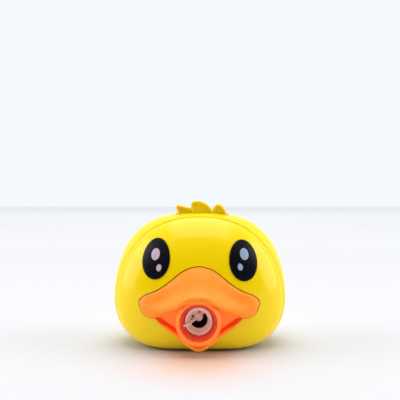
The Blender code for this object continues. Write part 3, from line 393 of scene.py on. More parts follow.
def metal(name, color, roughness, grain=1400.0):
    """Plated steel with fine scratches and slight staining."""
    recipe = Recipe(name)
    stain = recipe.noise(160.0, 5.0, 0.65)
    colour = recipe.ramp(stain, ((0.25, shade(color, 0.72)), (0.75, shade(color, 1.15))))
    recipe.join(colour, recipe.shader.inputs["Base Color"])
    scratches = recipe.noise(700.0, 6.0, 0.8)
    recipe.join(recipe.value_range(scratches, roughness * 0.6, roughness * 1.5),
                recipe.shader.inputs["Roughness"])
    recipe.bump(recipe.noise(grain, 3.0, 0.6), 0.12, 0.00008)
    recipe.set(Metallic=1.0)
    return recipe.material


def glowing(color, strength):
    """Emission that stands for light carried through thin translucent plastic."""
    return {"Emission_Color": (*color, 1.0), "Emission_Strength": strength}


THROAT_REACH = 0.030


def throat_plastic():
    """Inside of the jaw, the bill's orange with painted shade and a painted glow: orange at the tip,
    a painted deeper red where it runs up into the mouth.
    """
    recipe = Recipe("throat_painted_shade")
    split = recipe.add("ShaderNodeSeparateXYZ")
    recipe.join(recipe.position(), split.inputs["Vector"])
    across = recipe.value_range(split.outputs["X"], 0.0, 1.0, -THROAT_REACH, THROAT_REACH)
    wander = recipe.add("ShaderNodeMath", operation="ADD")
    recipe.join(across, wander.inputs[0])
    recipe.join(recipe.value_range(recipe.noise(90.0, 3.0, 0.5), -0.02, 0.02), wander.inputs[1])
    # deep is painted shade up inside the mouth; warm is the lit orange at the tip.
    deep, warm = (0.93, 0.060, 0.001, 1.0), (0.97, 0.17, 0.006, 1.0)
    colour = recipe.ramp(wander.outputs["Value"], ((0.0, deep), (0.26, deep), (0.42, warm),
                                                   (0.58, warm), (0.74, deep), (1.0, deep)))
    recipe.join(colour, recipe.shader.inputs["Base Color"])
    recipe.join(colour, recipe.shader.inputs["Emission Color"])
    recipe.join(recipe.value_range(recipe.noise(420.0, 5.0, 0.7), 0.34, 0.52),
                recipe.shader.inputs["Roughness"])
    recipe.bump(recipe.noise(700.0, 2.0, 0.5), 0.05, 0.0001)
    recipe.set(IOR=1.35, Subsurface_Weight=0.2, Subsurface_Scale=0.003, Emission_Strength=0.14)
    return recipe.material


YELLOW = (0.86, 0.61, 0.0)
ORANGE = (0.97, 0.258, 0.008)
MOUTH = (0.98, 0.24, 0.018)

yellow = moulded("yellow_gloss", YELLOW, 0.15, grain=500.0, bump=0.02, spread=0.02, ior=1.31,
                 Subsurface_Weight=0.05, Subsurface_Scale=0.003)
orange = moulded("orange_satin", ORANGE, 0.46, grain=700.0, bump=0.04, spread=0.03, ior=1.34,
                 Subsurface_Weight=0.18, Subsurface_Scale=0.004)
# The mouth panel and the collar are the bill's orange plastic. Their slightly redder tint is painted
# inter-reflected light, and their emission is painted glow.
mouth_orange = moulded("mouth_orange", MOUTH, 0.42, grain=700.0, bump=0.05, spread=0.04, ior=1.4,
                       Subsurface_Weight=0.15, Subsurface_Scale=0.003,
                       **glowing((0.98, 0.20, 0.015), 0.25))
throat_painted_shade = throat_plastic()
collar_orange = moulded("collar_orange", (0.98, 0.22, 0.014), 0.28, grain=700.0, bump=0.04,
                        spread=0.03, Subsurface_Weight=0.2, Subsurface_Scale=0.003,
                        **glowing((0.98, 0.16, 0.010), 0.16))
eye_black = moulded("eye_ink", (0.0015, 0.0020, 0.0045), 0.28, grain=300.0, bump=0.02,
                    spread=0.4, ior=1.25)
# Printed highlight spots, tinted by painted reflection.
glint_print_pink_reflection = moulded("glint_print_pink_reflection", (0.48, 0.36, 0.46), 0.3, grain=500.0, spread=0.05)
glint_print_blue_reflection = moulded("glint_print_blue_reflection", (0.26, 0.33, 0.47), 0.3, grain=500.0, spread=0.05)
white_plastic = moulded("white_plastic", (0.80, 0.80, 0.77), 0.36, spread=0.05)
grey_plastic = moulded("grey_plastic", (0.02, 0.02, 0.023), 0.45, bump=0.15, spread=0.12)
rubber = moulded("seal_rubber", (0.45, 0.46, 0.48), 0.6, bump=0.2, spread=0.1)
cell_wrap = moulded("cell_wrap", (0.02, 0.06, 0.18), 0.22, spread=0.2)
board_green = moulded("board_green", (0.012, 0.10, 0.035), 0.35, spread=0.25)
steel = metal("plated_steel", (0.62, 0.62, 0.64), 0.28)


# The nozzle's parts share one clear pinkish plastic, and their emission is painted glow. The web's
# darker brown is painted shade deep in the nozzle; the cup's red is painted shade with the collar's
# orange seen through it.
ring_pink = moulded("ring_pink", (0.80, 0.62, 0.56), 0.20, spread=0.06,
                    Subsurface_Weight=0.6, Subsurface_Scale=0.003,
                    **glowing((0.80, 0.52, 0.46), 0.13))
web_painted_shade = moulded("web_painted_shade", (0.72, 0.48, 0.38), 0.24, spread=0.08,
                    Subsurface_Weight=0.5, Subsurface_Scale=0.003,
                    **glowing((0.78, 0.42, 0.32), 0.22))
cup_painted_shade = moulded("cup_painted_shade", (0.82, 0.075, 0.018), 0.20, spread=0.08,
                  Subsurface_Weight=0.5, Subsurface_Scale=0.004,
                  **glowing((0.95, 0.08, 0.02), 0.08))
wiper_pink = moulded("wiper_pink", (0.77, 0.66, 0.62), 0.22, spread=0.05,
                     Subsurface_Weight=0.5, Subsurface_Scale=0.002,
                     **glowing((0.80, 0.52, 0.48), 0.14))
clear_bottle = moulded("clear_bottle", (0.86, 0.90, 0.92), 0.18, spread=0.03,
                       Transmission_Weight=0.8)
silicone = moulded("silicone", (0.82, 0.84, 0.84), 0.38, spread=0.05, Transmission_Weight=0.4,
                   Subsurface_Weight=0.3, Subsurface_Scale=0.002)


# ---------------------------------------------------------------- shells

EDGE_ROUND = 0.0012
EDGE_GAP = 0.0004


def share_steps(first, last, count):
    """Values of y, closer together towards the poles."""
    def turn(y):
        share = (y - DEPTH_CENTRE) / HALF_DEPTH
        return math.copysign(math.asin(min(abs(share), 1.0) ** (SIDE_POWER / 2)), share)
    start, stop = turn(first), turn(last)
    steps = []
    for k in range(count + 1):
        angle = start + (stop - start) * k / count
        share = math.copysign(abs(math.sin(angle)) ** (2 / SIDE_POWER), angle)
        steps.append(DEPTH_CENTRE + share * HALF_DEPTH)
    return steps


def shell(name, towards, count):
    """Half of the head, a closed wall whose rim rounds over at the parting plane."""
    rim = PARTING_Y + towards * EDGE_GAP
    pole_y = DEPTH_CENTRE + towards * HALF_DEPTH
    outer = []
    for degrees in (0.0, 18.0, 36.0, 54.0, 72.0):
        turn = math.radians(degrees)
        outer.append(head_ring(rim + towards * EDGE_ROUND * (1 - math.cos(turn)),
                               -EDGE_ROUND * (1 - math.sin(turn))))
    start = rim + towards * EDGE_ROUND
    outer += [head_ring(y, 0.0) for y in share_steps(start, pole_y, count)[:-1]]
    inner_pole = pole_y - towards * WALL
    inner = [head_ring(y, -WALL) for y in share_steps(rim, inner_pole, count // 2)[:-1]]
    rings = inner[::-1] + outer
    tips = (Vector((0, inner_pole, WIDEST_HEIGHT)), Vector((0, pole_y, WIDEST_HEIGHT)))
    return loft(name, rings, tips)


front = shell("front_shell_skin", -1.0, 46)
cut(front, rod_solid(NOZZLE + Vector((0, -0.045, 0)), 0.012, NOZZLE_OPENING))

rear = shell("rear_shell_skin", 1.0, 64)
cut(rear, box_solid(DOOR_OPENING))
cut(rear, box_solid(CREST_SLOT))
cut(rear, rod_solid(Vector((*BOTTLE_AXIS, -0.003)), 0.010, BOTTLE_OPENING, "Z"))
for x, z in SCREWS:
    cut(rear, rod_solid(Vector((x, SCREW_SEAT, z)), 0.035, SCREW_HEAD_ROOM, segments=40))
show(rear, yellow, "casing", "yellow_shell", "rear_shell")


# ---------------------------------------------------------------- battery door

DOOR_GAP = 0.0004
DOOR_EDGE = 0.0009
DOOR_SCREW_Z = 0.0505
GRIP_RIBS = [0.0430 - 0.0021 * number for number in range(4)]
GRIP_HALF_WIDTH = 0.0085
RIB_HEIGHT = 0.0006
RIB_SPREAD = 0.00045


def door_marks(low, high, count):
    """Places across the door, closer together over its rounded edges."""
    shares = (0.0, 0.06, 0.2, 0.45, 0.75)
    ends = [low + DOOR_EDGE * m for m in shares] + [high - DOOR_EDGE * m for m in shares]
    inside = high - low - 2 * DOOR_EDGE
    return sorted(ends + [low + DOOR_EDGE + inside * k / count for k in range(count + 1)])


def build_door():
    """Curved panel with rounded edges, grip ribs and a screw recess."""
    (low_x, _, low_z), (high_x, _, high_z) = DOOR_OPENING
    low_x, low_z, high_x, high_z = (low_x + DOOR_GAP, low_z + DOOR_GAP, high_x - DOOR_GAP,
                                    high_z - DOOR_GAP)
    outer, inner = [], []
    for z in door_marks(low_z, high_z, 64):
        outer_row, inner_row = [], []
        for x in door_marks(low_x, high_x, 88):
            y = head_surface(x, z, front=False)
            inset = min(x - low_x, high_x - x, z - low_z, high_z - z)
            fall = DOOR_EDGE - math.sqrt(max(DOOR_EDGE**2 - max(DOOR_EDGE - inset, 0.0)**2, 0.0))
            rib = 0.0
            if abs(x) < GRIP_HALF_WIDTH:
                rib = sum(RIB_HEIGHT * math.exp(-((z - centre) / RIB_SPREAD)**2)
                          for centre in GRIP_RIBS)
            outer_row.append((x, y - fall + rib, z))
            inner_row.append((x, y - WALL, z))
        outer.append(outer_row)
        inner.append(inner_row)
    door = plate("battery_door_skin", outer, inner, 40.0)
    cut(door, rod_solid(Vector((0, 0.0405, DOOR_SCREW_Z)), 0.010, 0.0031, segments=48))
    cut(door, rod_solid(Vector((0, 0.0340, DOOR_SCREW_Z)), 0.012, 0.0016, segments=32))
    return door


show(build_door(), yellow, "door", "yellow_shell", "battery_door")


# ---------------------------------------------------------------- eyes

EYE_HALF = (0.0096, 0.0139)
EYE_CENTRES = {-1.0: (0.0292, 0.0636), 1.0: (0.0300, 0.0625)}
EYE_LEAN = math.radians(7.0)
EYE_LIFT = 0.0006
GLINT_LIFT = 0.0007
GLINT_SIZES = {"large": (0.0029, 0.0040), "small": (0.0017, 0.0024)}


def surface_disc(name, outline_point, lift, rim, rings=14, points=96):
    """Thin disc that lies on the head's front: outline_point(share, turn) gives its (x, z)."""
    shape = bmesh.new()

    def corner(place, sink):
        x, z = place
        return shape.verts.new((x, head_surface(x, z, grow=lift) + sink, z))
    tip_place = outline_point(0.0, 0.0)
    top_tip, low_tip = corner(tip_place, 0.0), corner(tip_place, rim)
    tops, lows = [], []
    for j in range(1, rings + 1):
        row = [outline_point(j / rings, 2 * math.pi * k / points) for k in range(points)]
        tops.append([corner(place, 0.8 * rim if j == rings else 0.0) for place in row])
        lows.append([corner(place, rim) for place in row])
    for layer, tip in ((tops, top_tip), (lows, low_tip)):
        for k in range(points):
            shape.faces.new((tip, layer[0][k], layer[0][(k + 1) % points]))
        for row, following in zip(layer, layer[1:]):
            for k in range(points):
                after = (k + 1) % points
                shape.faces.new((row[k], following[k], following[after], row[after]))
    for k in range(points):
        after = (k + 1) % points
        shape.faces.new((tops[-1][k], lows[-1][k], lows[-1][after], tops[-1][after]))
    face_outwards(shape)
    return mesh_object(name, shape, 50.0)


def eye_point(side):
    def point(share, turn):
        up = math.sin(turn)
        x = share * EYE_HALF[0] * math.cos(turn) * (1.0 - 0.06 * up)
        z = share * EYE_HALF[1] * up
        leaned = (x * math.cos(EYE_LEAN) - z * math.sin(EYE_LEAN),
                  x * math.sin(EYE_LEAN) + z * math.cos(EYE_LEAN))
        return side * (EYE_CENTRES[side][0] + leaned[0]), EYE_CENTRES[side][1] + leaned[1]
    return point


def glint_point(centre, halves, lean):
    def point(share, turn):
        x, z = share * halves[0] * math.cos(turn), share * halves[1] * math.sin(turn)
        return (centre[0] + x * math.cos(lean) - z * math.sin(lean),
                centre[1] + x * math.sin(lean) + z * math.cos(lean))
    return point


GLINT_TILT = math.radians(14.0)
# The eye highlights are printed white spots; their pink and blue tints are painted reflection.
GLINTS = ((-1.0, "left", glint_print_pink_reflection, (-0.0004, 0.0029), (0.0021, -0.0060)),
          (1.0, "right", glint_print_blue_reflection, (0.0007, 0.0041), (-0.0021, -0.0043)))
for side, word, print_and_reflection, large, small in GLINTS:
    eye = surface_disc(f"eye_{word}_print", eye_point(side), EYE_LIFT, 0.0002, rings=22)
    show(eye, eye_black, "casing", "eye_black", f"eye_{word}")
    for size, offset in (("large", large), ("small", small)):
        centre = (side * EYE_CENTRES[side][0] + offset[0], EYE_CENTRES[side][1] + offset[1])
        outline = glint_point(centre, GLINT_SIZES[size], side * GLINT_TILT)
        glint = surface_disc(f"eye_{word}_glint_{size}", outline, GLINT_LIFT, 0.00008, rings=8,
                             points=64)
        show(glint, print_and_reflection, "casing", "eye_black", f"eye_{word}")


# ---------------------------------------------------------------- bill

BILL_TOP = ((0.0, 0.0583), (0.0072, 0.0568), (0.0124, 0.0540), (0.0192, 0.0484),
            (0.0243, 0.0446), (0.0296, 0.0415), (0.0358, 0.0390), (0.0393, 0.0366),
            (0.0411, 0.0341))
BILL_FOOT = ((0.0, 0.0368), (0.0069, 0.0359), (0.0131, 0.0328), (0.0209, 0.0284),
             (0.0270, 0.0252), (0.0320, 0.0240), (0.0360, 0.0252), (0.0390, 0.0283),
             (0.0411, 0.0335))
BILL_FRONT = ((0.0, -0.0560), (0.0069, -0.0552), (0.0119, -0.0532), (0.0187, -0.0488),
              (0.0240, -0.0456), (0.0290, -0.0428), (0.0332, -0.0405), (0.0380, -0.0375),
              (0.0411, -0.0345))
JAW_RIM = ((0.0, 0.0043), (0.0040, 0.0053), (0.0078, 0.0075), (0.0108, 0.0096),
           (0.0180, 0.0145), (0.0244, 0.0187), (0.0289, 0.0229))
JAW_FRONT = ((0.0, -0.0500), (0.0050, -0.0490), (0.0104, -0.0468), (0.0200, -0.0436),
             (0.0289, -0.0402))
BILL_REACH = 0.0411
JAW_REACH = 0.0289
JAW_WALL = 0.0050
ROOT_DEPTH = 0.0014


def stations(reach, count):
    return [reach * math.sin(math.pi / 2 * k / count) for k in range(-count, count + 1)]


def bezier(p0, p1, p2, p3, count):
    """Points along a cubic curve, without its ends."""
    points = []
    for k in range(1, count):
        t = k / count
        u = 1 - t
        points.append(tuple(u**3 * a + 3 * u**2 * t * b + 3 * u * t**2 * c + t**3 * d
                            for a, b, c, d in zip(p0, p1, p2, p3)))
    return points


def ease(low, high, x):
    t = min(max((x - low) / (high - low), 0.0), 1.0)
    return t * t * (3 - 2 * t)


def bill_section(x):
    """Closed profile of the upper bill at x: root, brow edge, ridge, rolled lip and roof."""
    top, foot = between(BILL_TOP, abs(x)), between(BILL_FOOT, abs(x))
    front = between(BILL_FRONT, abs(x))
    root, under = head_surface(x, top), head_surface(x, foot)
    height, depth = top - foot, max(root - front, 0.0006)
    wing = ease(0.014, 0.030, abs(x))
    edge = min(0.0007, 0.2 * height)
    points = [(root + ROOT_DEPTH, top)]
    for k in range(6):
        turn = math.radians(90.0 + 75.0 * k / 5)
        points.append((root - 0.0003 + edge * math.cos(turn), top - edge + edge * math.sin(turn)))
    brow = points[-1]
    across = min(0.0022 + 0.0026 * wing, 0.6 * depth)
    rise = min(0.0024 + 0.0022 * wing, 0.36 * height)
    centre = (front + across, foot + rise)
    first = 112.0 + 18.0 * wing

    def roll(turn):
        return (centre[0] + across * math.cos(math.radians(turn)),
                centre[1] + rise * math.sin(math.radians(turn)))
    crest = roll(first)
    slope = (-across * math.sin(math.radians(first)), rise * math.cos(math.radians(first)))
    length = math.hypot(*slope)
    run = math.hypot(brow[0] - crest[0], brow[1] - crest[1])
    leave = (brow[0] - run * (0.30 - 0.12 * wing), brow[1] - run * (0.24 - 0.16 * wing))
    arrive = (crest[0] - slope[0] / length * run * 0.36, crest[1] - slope[1] / length * run * 0.36)
    points += bezier(brow, leave, arrive, crest, 20)
    for k in range(21):
        points.append(roll(first + (272.0 - first) * k / 20))
    start = points[-1]
    roof = foot + min(0.0022 - 0.0006 * wing, 0.4 * height)
    end = (max(under + ROOT_DEPTH, start[0] + 0.0004), roof)
    leave = (start[0] + 0.0002, start[1] + 0.6 * (roof - start[1]))
    arrive = (start[0] + 0.2 * (end[0] - start[0]), roof)
    points += bezier(start, leave, arrive, end, 8) + [end]
    return [Vector((x, y, z)) for y, z in points]


def jaw_section(x):
    """Closed profile of the lower bill at x: a rounded rim and a wall that slopes up inside."""
    foot, front = between(JAW_RIM, abs(x)), between(JAW_FRONT, abs(x))
    half = 0.0015 - 0.0006 * ease(0.020, JAW_REACH, abs(x))
    skin = head_surface(x, foot + 0.003)
    root = skin + ROOT_DEPTH
    rise = JAW_WALL
    if abs(x) < 0.0148:
        collar_foot = NOZZLE.z - math.sqrt(0.0149**2 - x * x)
        rise = min(rise, collar_foot - 0.0003 - foot)
    rise = max(rise, 2.2 * half) * (1.0 - 0.45 * ease(0.024, JAW_REACH, abs(x)))
    inner = foot + rise
    points = [(root, foot + 0.0016)]
    for k in range(1, 8):
        t = k / 8
        points.append((root + (front + half - root) * t, foot + 0.0016 * (1 - t)**1.5))
    for k in range(13):
        turn = math.radians(270.0 - 180.0 * k / 12)
        points.append((front + half + half * math.cos(turn), foot + half + half * math.sin(turn)))
    start = points[-1]
    end = (min(skin - 0.0002, -0.0398), inner)
    for k in range(1, 9):
        t = k / 8
        points.append((start[0] + (end[0] - start[0]) * t,
                       start[1] + (end[1] - start[1]) * (0.75 * t + 0.25 * t * t)))
    points.append((root, inner))
    return [Vector((x, y, z)) for y, z in points]


upper = loft("upper_bill_skin", [bill_section(x) for x in stations(BILL_REACH, 60)])
show(upper, orange, "casing", "orange_bill", "upper_bill")
lower = loft("lower_bill_skin", [jaw_section(x) for x in stations(JAW_REACH, 44)])
show(lower, orange, "casing", "orange_bill", "lower_bill")
JAW_POINTS = len(jaw_section(0.0))
INNER_WALL = range(20, 30)
# The jaw's inner wall gets the material with painted shade and painted glow.
lower.data.materials.append(throat_painted_shade)
for polygon in lower.data.polygons:
    if len(polygon.vertices) == 4 and polygon.index % JAW_POINTS in INNER_WALL:
        polygon.material_index = 1


def resampled(outline, spacing):
    """A closed outline with evenly spaced, slightly smoothed points."""
    points = [Vector(p) for p in outline]
    lengths = [(b - a).length for a, b in zip(points, points[1:] + points[:1])]
    count = int(sum(lengths) / spacing)
    even = []
    k, gone = 0, 0.0
    for number in range(count):
        place = sum(lengths) * number / count
        while gone + lengths[k] < place:
            gone += lengths[k]
            k += 1
        even.append(points[k].lerp(points[(k + 1) % len(points)], (place - gone) / lengths[k]))
    for _ in range(2):
        even = [(even[i - 1] + 2 * even[i] + even[(i + 1) % count]) / 4 for i in range(count)]
    return even


def offset(outline, distance):
    """The outline moved sideways, outwards for an outline that runs clockwise."""
    moved = []
    for i, point in enumerate(outline):
        along = (outline[(i + 1) % len(outline)] - outline[i - 1]).normalized()
        moved.append(point + Vector((-along.y, along.x)) * distance)
    return moved


def slot_solid(outline, inner, outer, near, far):
    """Ring-shaped prism along Y between two offsets of an outline."""
    rims = [offset(outline, outer), offset(outline, inner)]
    rings = []
    for k in range(len(outline)):
        (xo, zo), (xi, zi) = rims[0][k], rims[1][k]
        rings.append([Vector((xo, near, zo)), Vector((xo, far, zo)), Vector((xi, far, zi)),
                      Vector((xi, near, zi))])
    return loft("slot", rings, looped=True)


def beak_outline():
    """Outline of the whole beak against the head: brow, wings and the jaw's rim."""
    brow = [(x, between(BILL_TOP, abs(x))) for x in stations(BILL_REACH, 48)]
    wing = [(x, between(BILL_FOOT, x)) for x in stations(BILL_REACH, 48)
            if JAW_REACH < x < BILL_REACH]
    jaw = [(x, between(JAW_RIM, abs(x)) + 0.0010) for x in stations(JAW_REACH, 40)]
    return brow + wing[::-1] + jaw[::-1] + [(-x, z) for x, z in wing]


BEAK_OVERLAP = 0.0009
BEAK_GAP = 0.0006
cut(front, slot_solid(resampled(beak_outline(), 0.0007), -BEAK_OVERLAP, BEAK_GAP, -0.046, -0.026))
show(front, yellow, "casing", "yellow_shell", "front_shell")


# ---------------------------------------------------------------- mouth and nozzle

PANEL_REACH = 0.0285
PANEL_PROUD = 0.0009
PANEL_DEPTH = 0.0004
PANEL_OPENING = 0.0142


def build_mouth_panel():
    """Back wall of the mouth, a thin skin that follows the head, round the nozzle's collar."""
    front, back = [], []
    for x in stations(PANEL_REACH, 36):
        top = between(BILL_FOOT, abs(x)) + 0.0028
        foot = between(JAW_RIM, abs(x)) + 0.0014
        heights = [foot + (top - foot) * k / 24 for k in range(25)]
        front.append([(x, head_surface(x, z) - PANEL_PROUD, z) for z in heights])
        back.append([(x, head_surface(x, z) + PANEL_DEPTH, z) for z in heights])
    panel = plate("mouth_panel_skin", front, back)
    cut(panel, rod_solid(NOZZLE + Vector((0, -0.050, 0)), 0.020, PANEL_OPENING))
    return panel


show(build_mouth_panel(), mouth_orange, "casing", "mouth_orange", "mouth_panel")
collar_profile = rounded([(COLLAR_BORE, -0.0376), (COLLAR_RADIUS, -0.0376),
                          (COLLAR_RADIUS, COLLAR_FRONT), (COLLAR_BORE, COLLAR_FRONT)], 0.0010, 6)
show(turned("nozzle_collar", collar_profile), collar_orange, "casing", "mouth_orange",
     "mouth_panel")

cup_profile = rounded([(0.01195, -0.0256), (0.01195, -0.0506), (0.01165, -0.0506),
                       (0.0114, -0.0476), (0.0111, -0.0462), (0.0098, -0.0436),
                       (0.0096, -0.0400), (0.0100, -0.0272), (0.0094, -0.0268),
                       (0.0094, -0.0256)], 0.0004)
show(turned("drip_cup_skin", cup_profile), cup_painted_shade, "casing", "clear_nozzle", "drip_cup")

ring_profile = rounded([(0.0091, -0.0366), (0.0091, -0.0446), (0.0081, -0.0446),
                        (0.00587, -0.0380), (0.00587, -0.0366)], 0.0004)
show(turned("film_ring_skin", ring_profile), ring_pink, "casing", "clear_nozzle", "film_ring")
NUB_PROFILE = ((0.0, -0.0410), (0.0007, -0.0411), (0.0008, -0.0425), (0.0008, -0.0440),
               (0.0006, -0.0447), (0.0003, -0.0450), (0.0, -0.0451))
show(knob("film_ring_drip_nub", NUB_PROFILE, NOZZLE + Vector((0.0, 0.0, -0.0090)), 32),
     ring_pink, "casing", "clear_nozzle", "film_ring")


WEB_FRONT = -0.0272
WEB_THICKNESS = 0.0016
WEB_START = 32.0
WEB_SPAN = 163.0
WEB_HOLES = ((0.0003, 0.0030), (-0.0044, 0.0001))
WEB_HOLE_RADIUS = 0.0009


def build_web():
    """Sector between the air hole's wall and the bearing, with its two feed holes."""
    turns = [math.radians(WEB_START + WEB_SPAN * k / 27) for k in range(28)]
    front, back = ([[(NOZZLE.x + r * math.cos(a), y, NOZZLE.z + r * math.sin(a))
                     for r in (0.0015, 0.0030, 0.0045, 0.0060)] for a in turns]
                   for y in (WEB_FRONT, WEB_FRONT + WEB_THICKNESS))
    web = plate("film_ring_web", front, back)
    for x, z in WEB_HOLES:
        hole = rod_solid(NOZZLE + Vector((x, -0.030, z)), 0.008, WEB_HOLE_RADIUS, segments=24)
        cut(web, hole)
    return web


def build_web_wall():
    """Part of a tube that carries the web from the ring."""
    rings = []
    for k in range(37):
        turn = math.radians(WEB_START - 2.0 + (WEB_SPAN + 4.0) * k / 36)
        rings.append([Vector((NOZZLE.x + r * math.cos(turn), y, NOZZLE.z + r * math.sin(turn)))
                      for r, y in ((0.0058, -0.0372), (0.0072, -0.0372), (0.0072, -0.0250),
                                   (0.0058, -0.0250))])
    return loft("film_ring_web_wall", rings)


show(build_web(), web_painted_shade, "casing", "clear_nozzle", "film_ring")
show(build_web_wall(), web_painted_shade, "casing", "clear_nozzle", "film_ring")
boss_profile = rounded([(0.0013, -0.0242), (0.0026, -0.0242), (0.0026, -0.0278),
                        (0.0013, -0.0278)], 0.0003)
show(turned("film_ring_boss", boss_profile, segments=48), ring_pink, "casing", "clear_nozzle",
     "film_ring")


WIPER_HEADING = -194.0
ARM_RADIUS = 0.00095


def build_wiper():
    """Domed hub and a tapered arm along the ring's cone, its tip turned up."""
    hub = [(0.0, -0.0281), (0.0021, -0.0281), (0.00245, -0.0284), (0.00245, -0.0308),
           (0.0022, -0.0313), (0.0014, -0.03155), (0.0, -0.0316)]
    bends = ((0.0010, -0.0302), (0.0047, -0.0380), (0.0070, -0.0454), (0.0082, -0.0463),
             (0.0103, -0.0466))
    heading = Matrix.Rotation(math.radians(WIPER_HEADING), 4, "Y")
    curve = bpy.data.curves.new("wiper_arm", "CURVE")
    curve.dimensions = "3D"
    curve.bevel_depth = ARM_RADIUS
    curve.bevel_resolution = 6
    curve.use_fill_caps = True
    curve.resolution_u = 10
    spline = curve.splines.new("BEZIER")
    spline.bezier_points.add(len(bends) - 1)
    for point, (reach, y) in zip(spline.bezier_points, bends):
        point.co = heading @ Vector((reach, y, 0.0)) + NOZZLE
        point.handle_left_type = point.handle_right_type = "AUTO"
        point.radius = 1.15 - 0.25 * reach / bends[-1][0]
    arm = link(bpy.data.objects.new("wiper_arm", curve))
    return knob("wiper_hub", hub), arm


for item in build_wiper():
    show(item, wiper_pink, "wiper_drive", "clear_nozzle", "wiper")


# ---------------------------------------------------------------- crest

FEATHERS = (
    ("left", ((-0.0160, 0.0900), (-0.0163, 0.0950), (-0.0172, 0.0978), (-0.0168, 0.0995),
              (-0.0145, 0.0997), (-0.0105, 0.0987), (-0.0062, 0.0976), (-0.0020, 0.0950),
              (0.0000, 0.0900))),
    ("middle", ((-0.0062, 0.0900), (-0.0060, 0.0960), (-0.0064, 0.1000), (-0.0056, 0.1020),
                (-0.0020, 0.1029), (0.0022, 0.1021), (0.0062, 0.0995), (0.0090, 0.0955),
                (0.0096, 0.0900))),
    ("right", ((0.0088, 0.0900), (0.0090, 0.0950), (0.0100, 0.0985), (0.0120, 0.1004),
               (0.0147, 0.1001), (0.0172, 0.0980), (0.0190, 0.0950), (0.0198, 0.0900))),
)


FEATHER_FOOT = 0.0900
FEATHER_ROUND = 0.0011
FEATHER_HALF_FLAT = 0.0027
FEATHER_Y = -0.004


def build_feather(word, outline, inset):
    """One leaf of the crest: a plate with broad rounded edges and a sunken face."""
    curve = bpy.data.curves.new(f"crest_{word}", "CURVE")
    curve.dimensions = "2D"
    curve.fill_mode = "BOTH"
    curve.extrude = FEATHER_HALF_FLAT
    curve.bevel_depth = FEATHER_ROUND
    curve.bevel_resolution = 5
    curve.offset = -FEATHER_ROUND
    curve.resolution_u = 10
    spline = curve.splines.new("BEZIER")
    spline.bezier_points.add(len(outline) - 1)
    for point, (x, z) in zip(spline.bezier_points, outline[::-1]):
        point.co = (x, z, 0.0)
        kind = "VECTOR" if z == FEATHER_FOOT else "AUTO"
        point.handle_left_type = point.handle_right_type = kind
    spline.use_cyclic_u = True
    item = link(bpy.data.objects.new(f"crest_{word}", curve))
    item.matrix_world = (Matrix.Translation((0.0, FEATHER_Y + inset, 0.0))
                         @ Matrix.Rotation(math.radians(90.0), 4, "X"))
    bpy.context.view_layer.update()
    evaluated = item.evaluated_get(bpy.context.evaluated_depsgraph_get())
    mesh = bpy.data.meshes.new_from_object(evaluated)
    placing = item.matrix_world.copy()
    bpy.data.objects.remove(item, do_unlink=True)
    shape = bmesh.new()
    shape.from_mesh(mesh)
    bmesh.ops.remove_doubles(shape, verts=shape.verts, dist=0.000001)
    bmesh.ops.transform(shape, matrix=placing, verts=shape.verts)
    face = [f for f in shape.faces if f.normal.y < -0.999]
    bmesh.ops.inset_region(shape, faces=face, thickness=0.0004, depth=0.0)
    bmesh.ops.inset_region(shape, faces=face, thickness=0.0005, depth=-0.0009)
    return mesh_object(f"crest_{word}", shape, 40.0)


CREST_GAP = 0.0004
CREST_EDGE = 0.0005
CREST_FOOT = 0.0880


def crown_height(x, y):
    """Height of the crown over a point (x, y)."""
    share = (y - DEPTH_CENTRE) / HALF_DEPTH
    side, across_power, up_power = head_scales(share)[0], *crown_powers(share)
    width = min(abs(x) / (HALF_WIDTH * side), 1.0)
    return WIDEST_HEIGHT + CROWN_RISE * side * (1.0 - width**across_power) ** (1 / up_power)


def build_crest_base():
    """Foot of the push button, which fills the slot flush with the crown."""
    (left, front_y, _), (right, rear_y, _) = CREST_SLOT
    left, right = left + CREST_GAP, right - CREST_GAP
    front_y, rear_y = front_y + CREST_GAP, rear_y - CREST_GAP
    steps = 40
    ends = [CREST_EDGE * (1 - math.cos(math.radians(a))) for a in (0, 30, 60, 90)]
    places = [left + end for end in ends]
    places += [left + CREST_EDGE + (right - left - 2 * CREST_EDGE) * k / steps
               for k in range(1, steps)]
    places += [right - end for end in ends[::-1]]
    rings = []
    for x in places:
        inset = min(x - left, right - x, CREST_EDGE)
        fall = CREST_EDGE - math.sqrt(max(CREST_EDGE**2 - (CREST_EDGE - inset)**2, 0.0))
        ring = [Vector((x, rear_y, CREST_FOOT)), Vector((x, front_y, CREST_FOOT))]
        for k in range(17):
            turn = math.pi * k / 16
            across = math.copysign(abs(math.cos(turn)) ** 0.35, math.cos(turn))
            y = (front_y + rear_y) / 2 - (rear_y - front_y) / 2 * across
            drop = CREST_EDGE * (1.0 - math.sin(turn) ** 0.35)
            ring.append(Vector((x, y, crown_height(x, y) - fall - drop)))
        rings.append(ring)
    return loft("crest_base", rings)


show(build_crest_base(), yellow, "crest", "yellow_shell", "crest_button")
for (word, outline), inset in zip(FEATHERS, (0.0003, -0.0001, 0.0002)):
    show(build_feather(word, outline, inset), yellow, "crest", "yellow_shell", "crest_button")


# ---------------------------------------------------------------- CAD nodes that stay

KEPT = {
    "white_plastic": white_plastic, "grey_plastic": grey_plastic, "steel": steel,
    "rubber_seal": rubber, "silicone_tube": silicone, "cell_jacket": cell_wrap,
    "board_green": board_green, "clear_bottle": clear_bottle, "clear_nozzle": ring_pink,
    "yellow_shell": yellow, "orange_bill": orange, "mouth_orange": mouth_orange,
    "eye_black": eye_black,
}
for entry in frame["record"]["subparts"]:
    node = frame["nodes"][entry["node"]]
    node.data.materials.clear()
    node.data.materials.append(KEPT[entry["material_slot"]])


# ---------------------------------------------------------------- studio

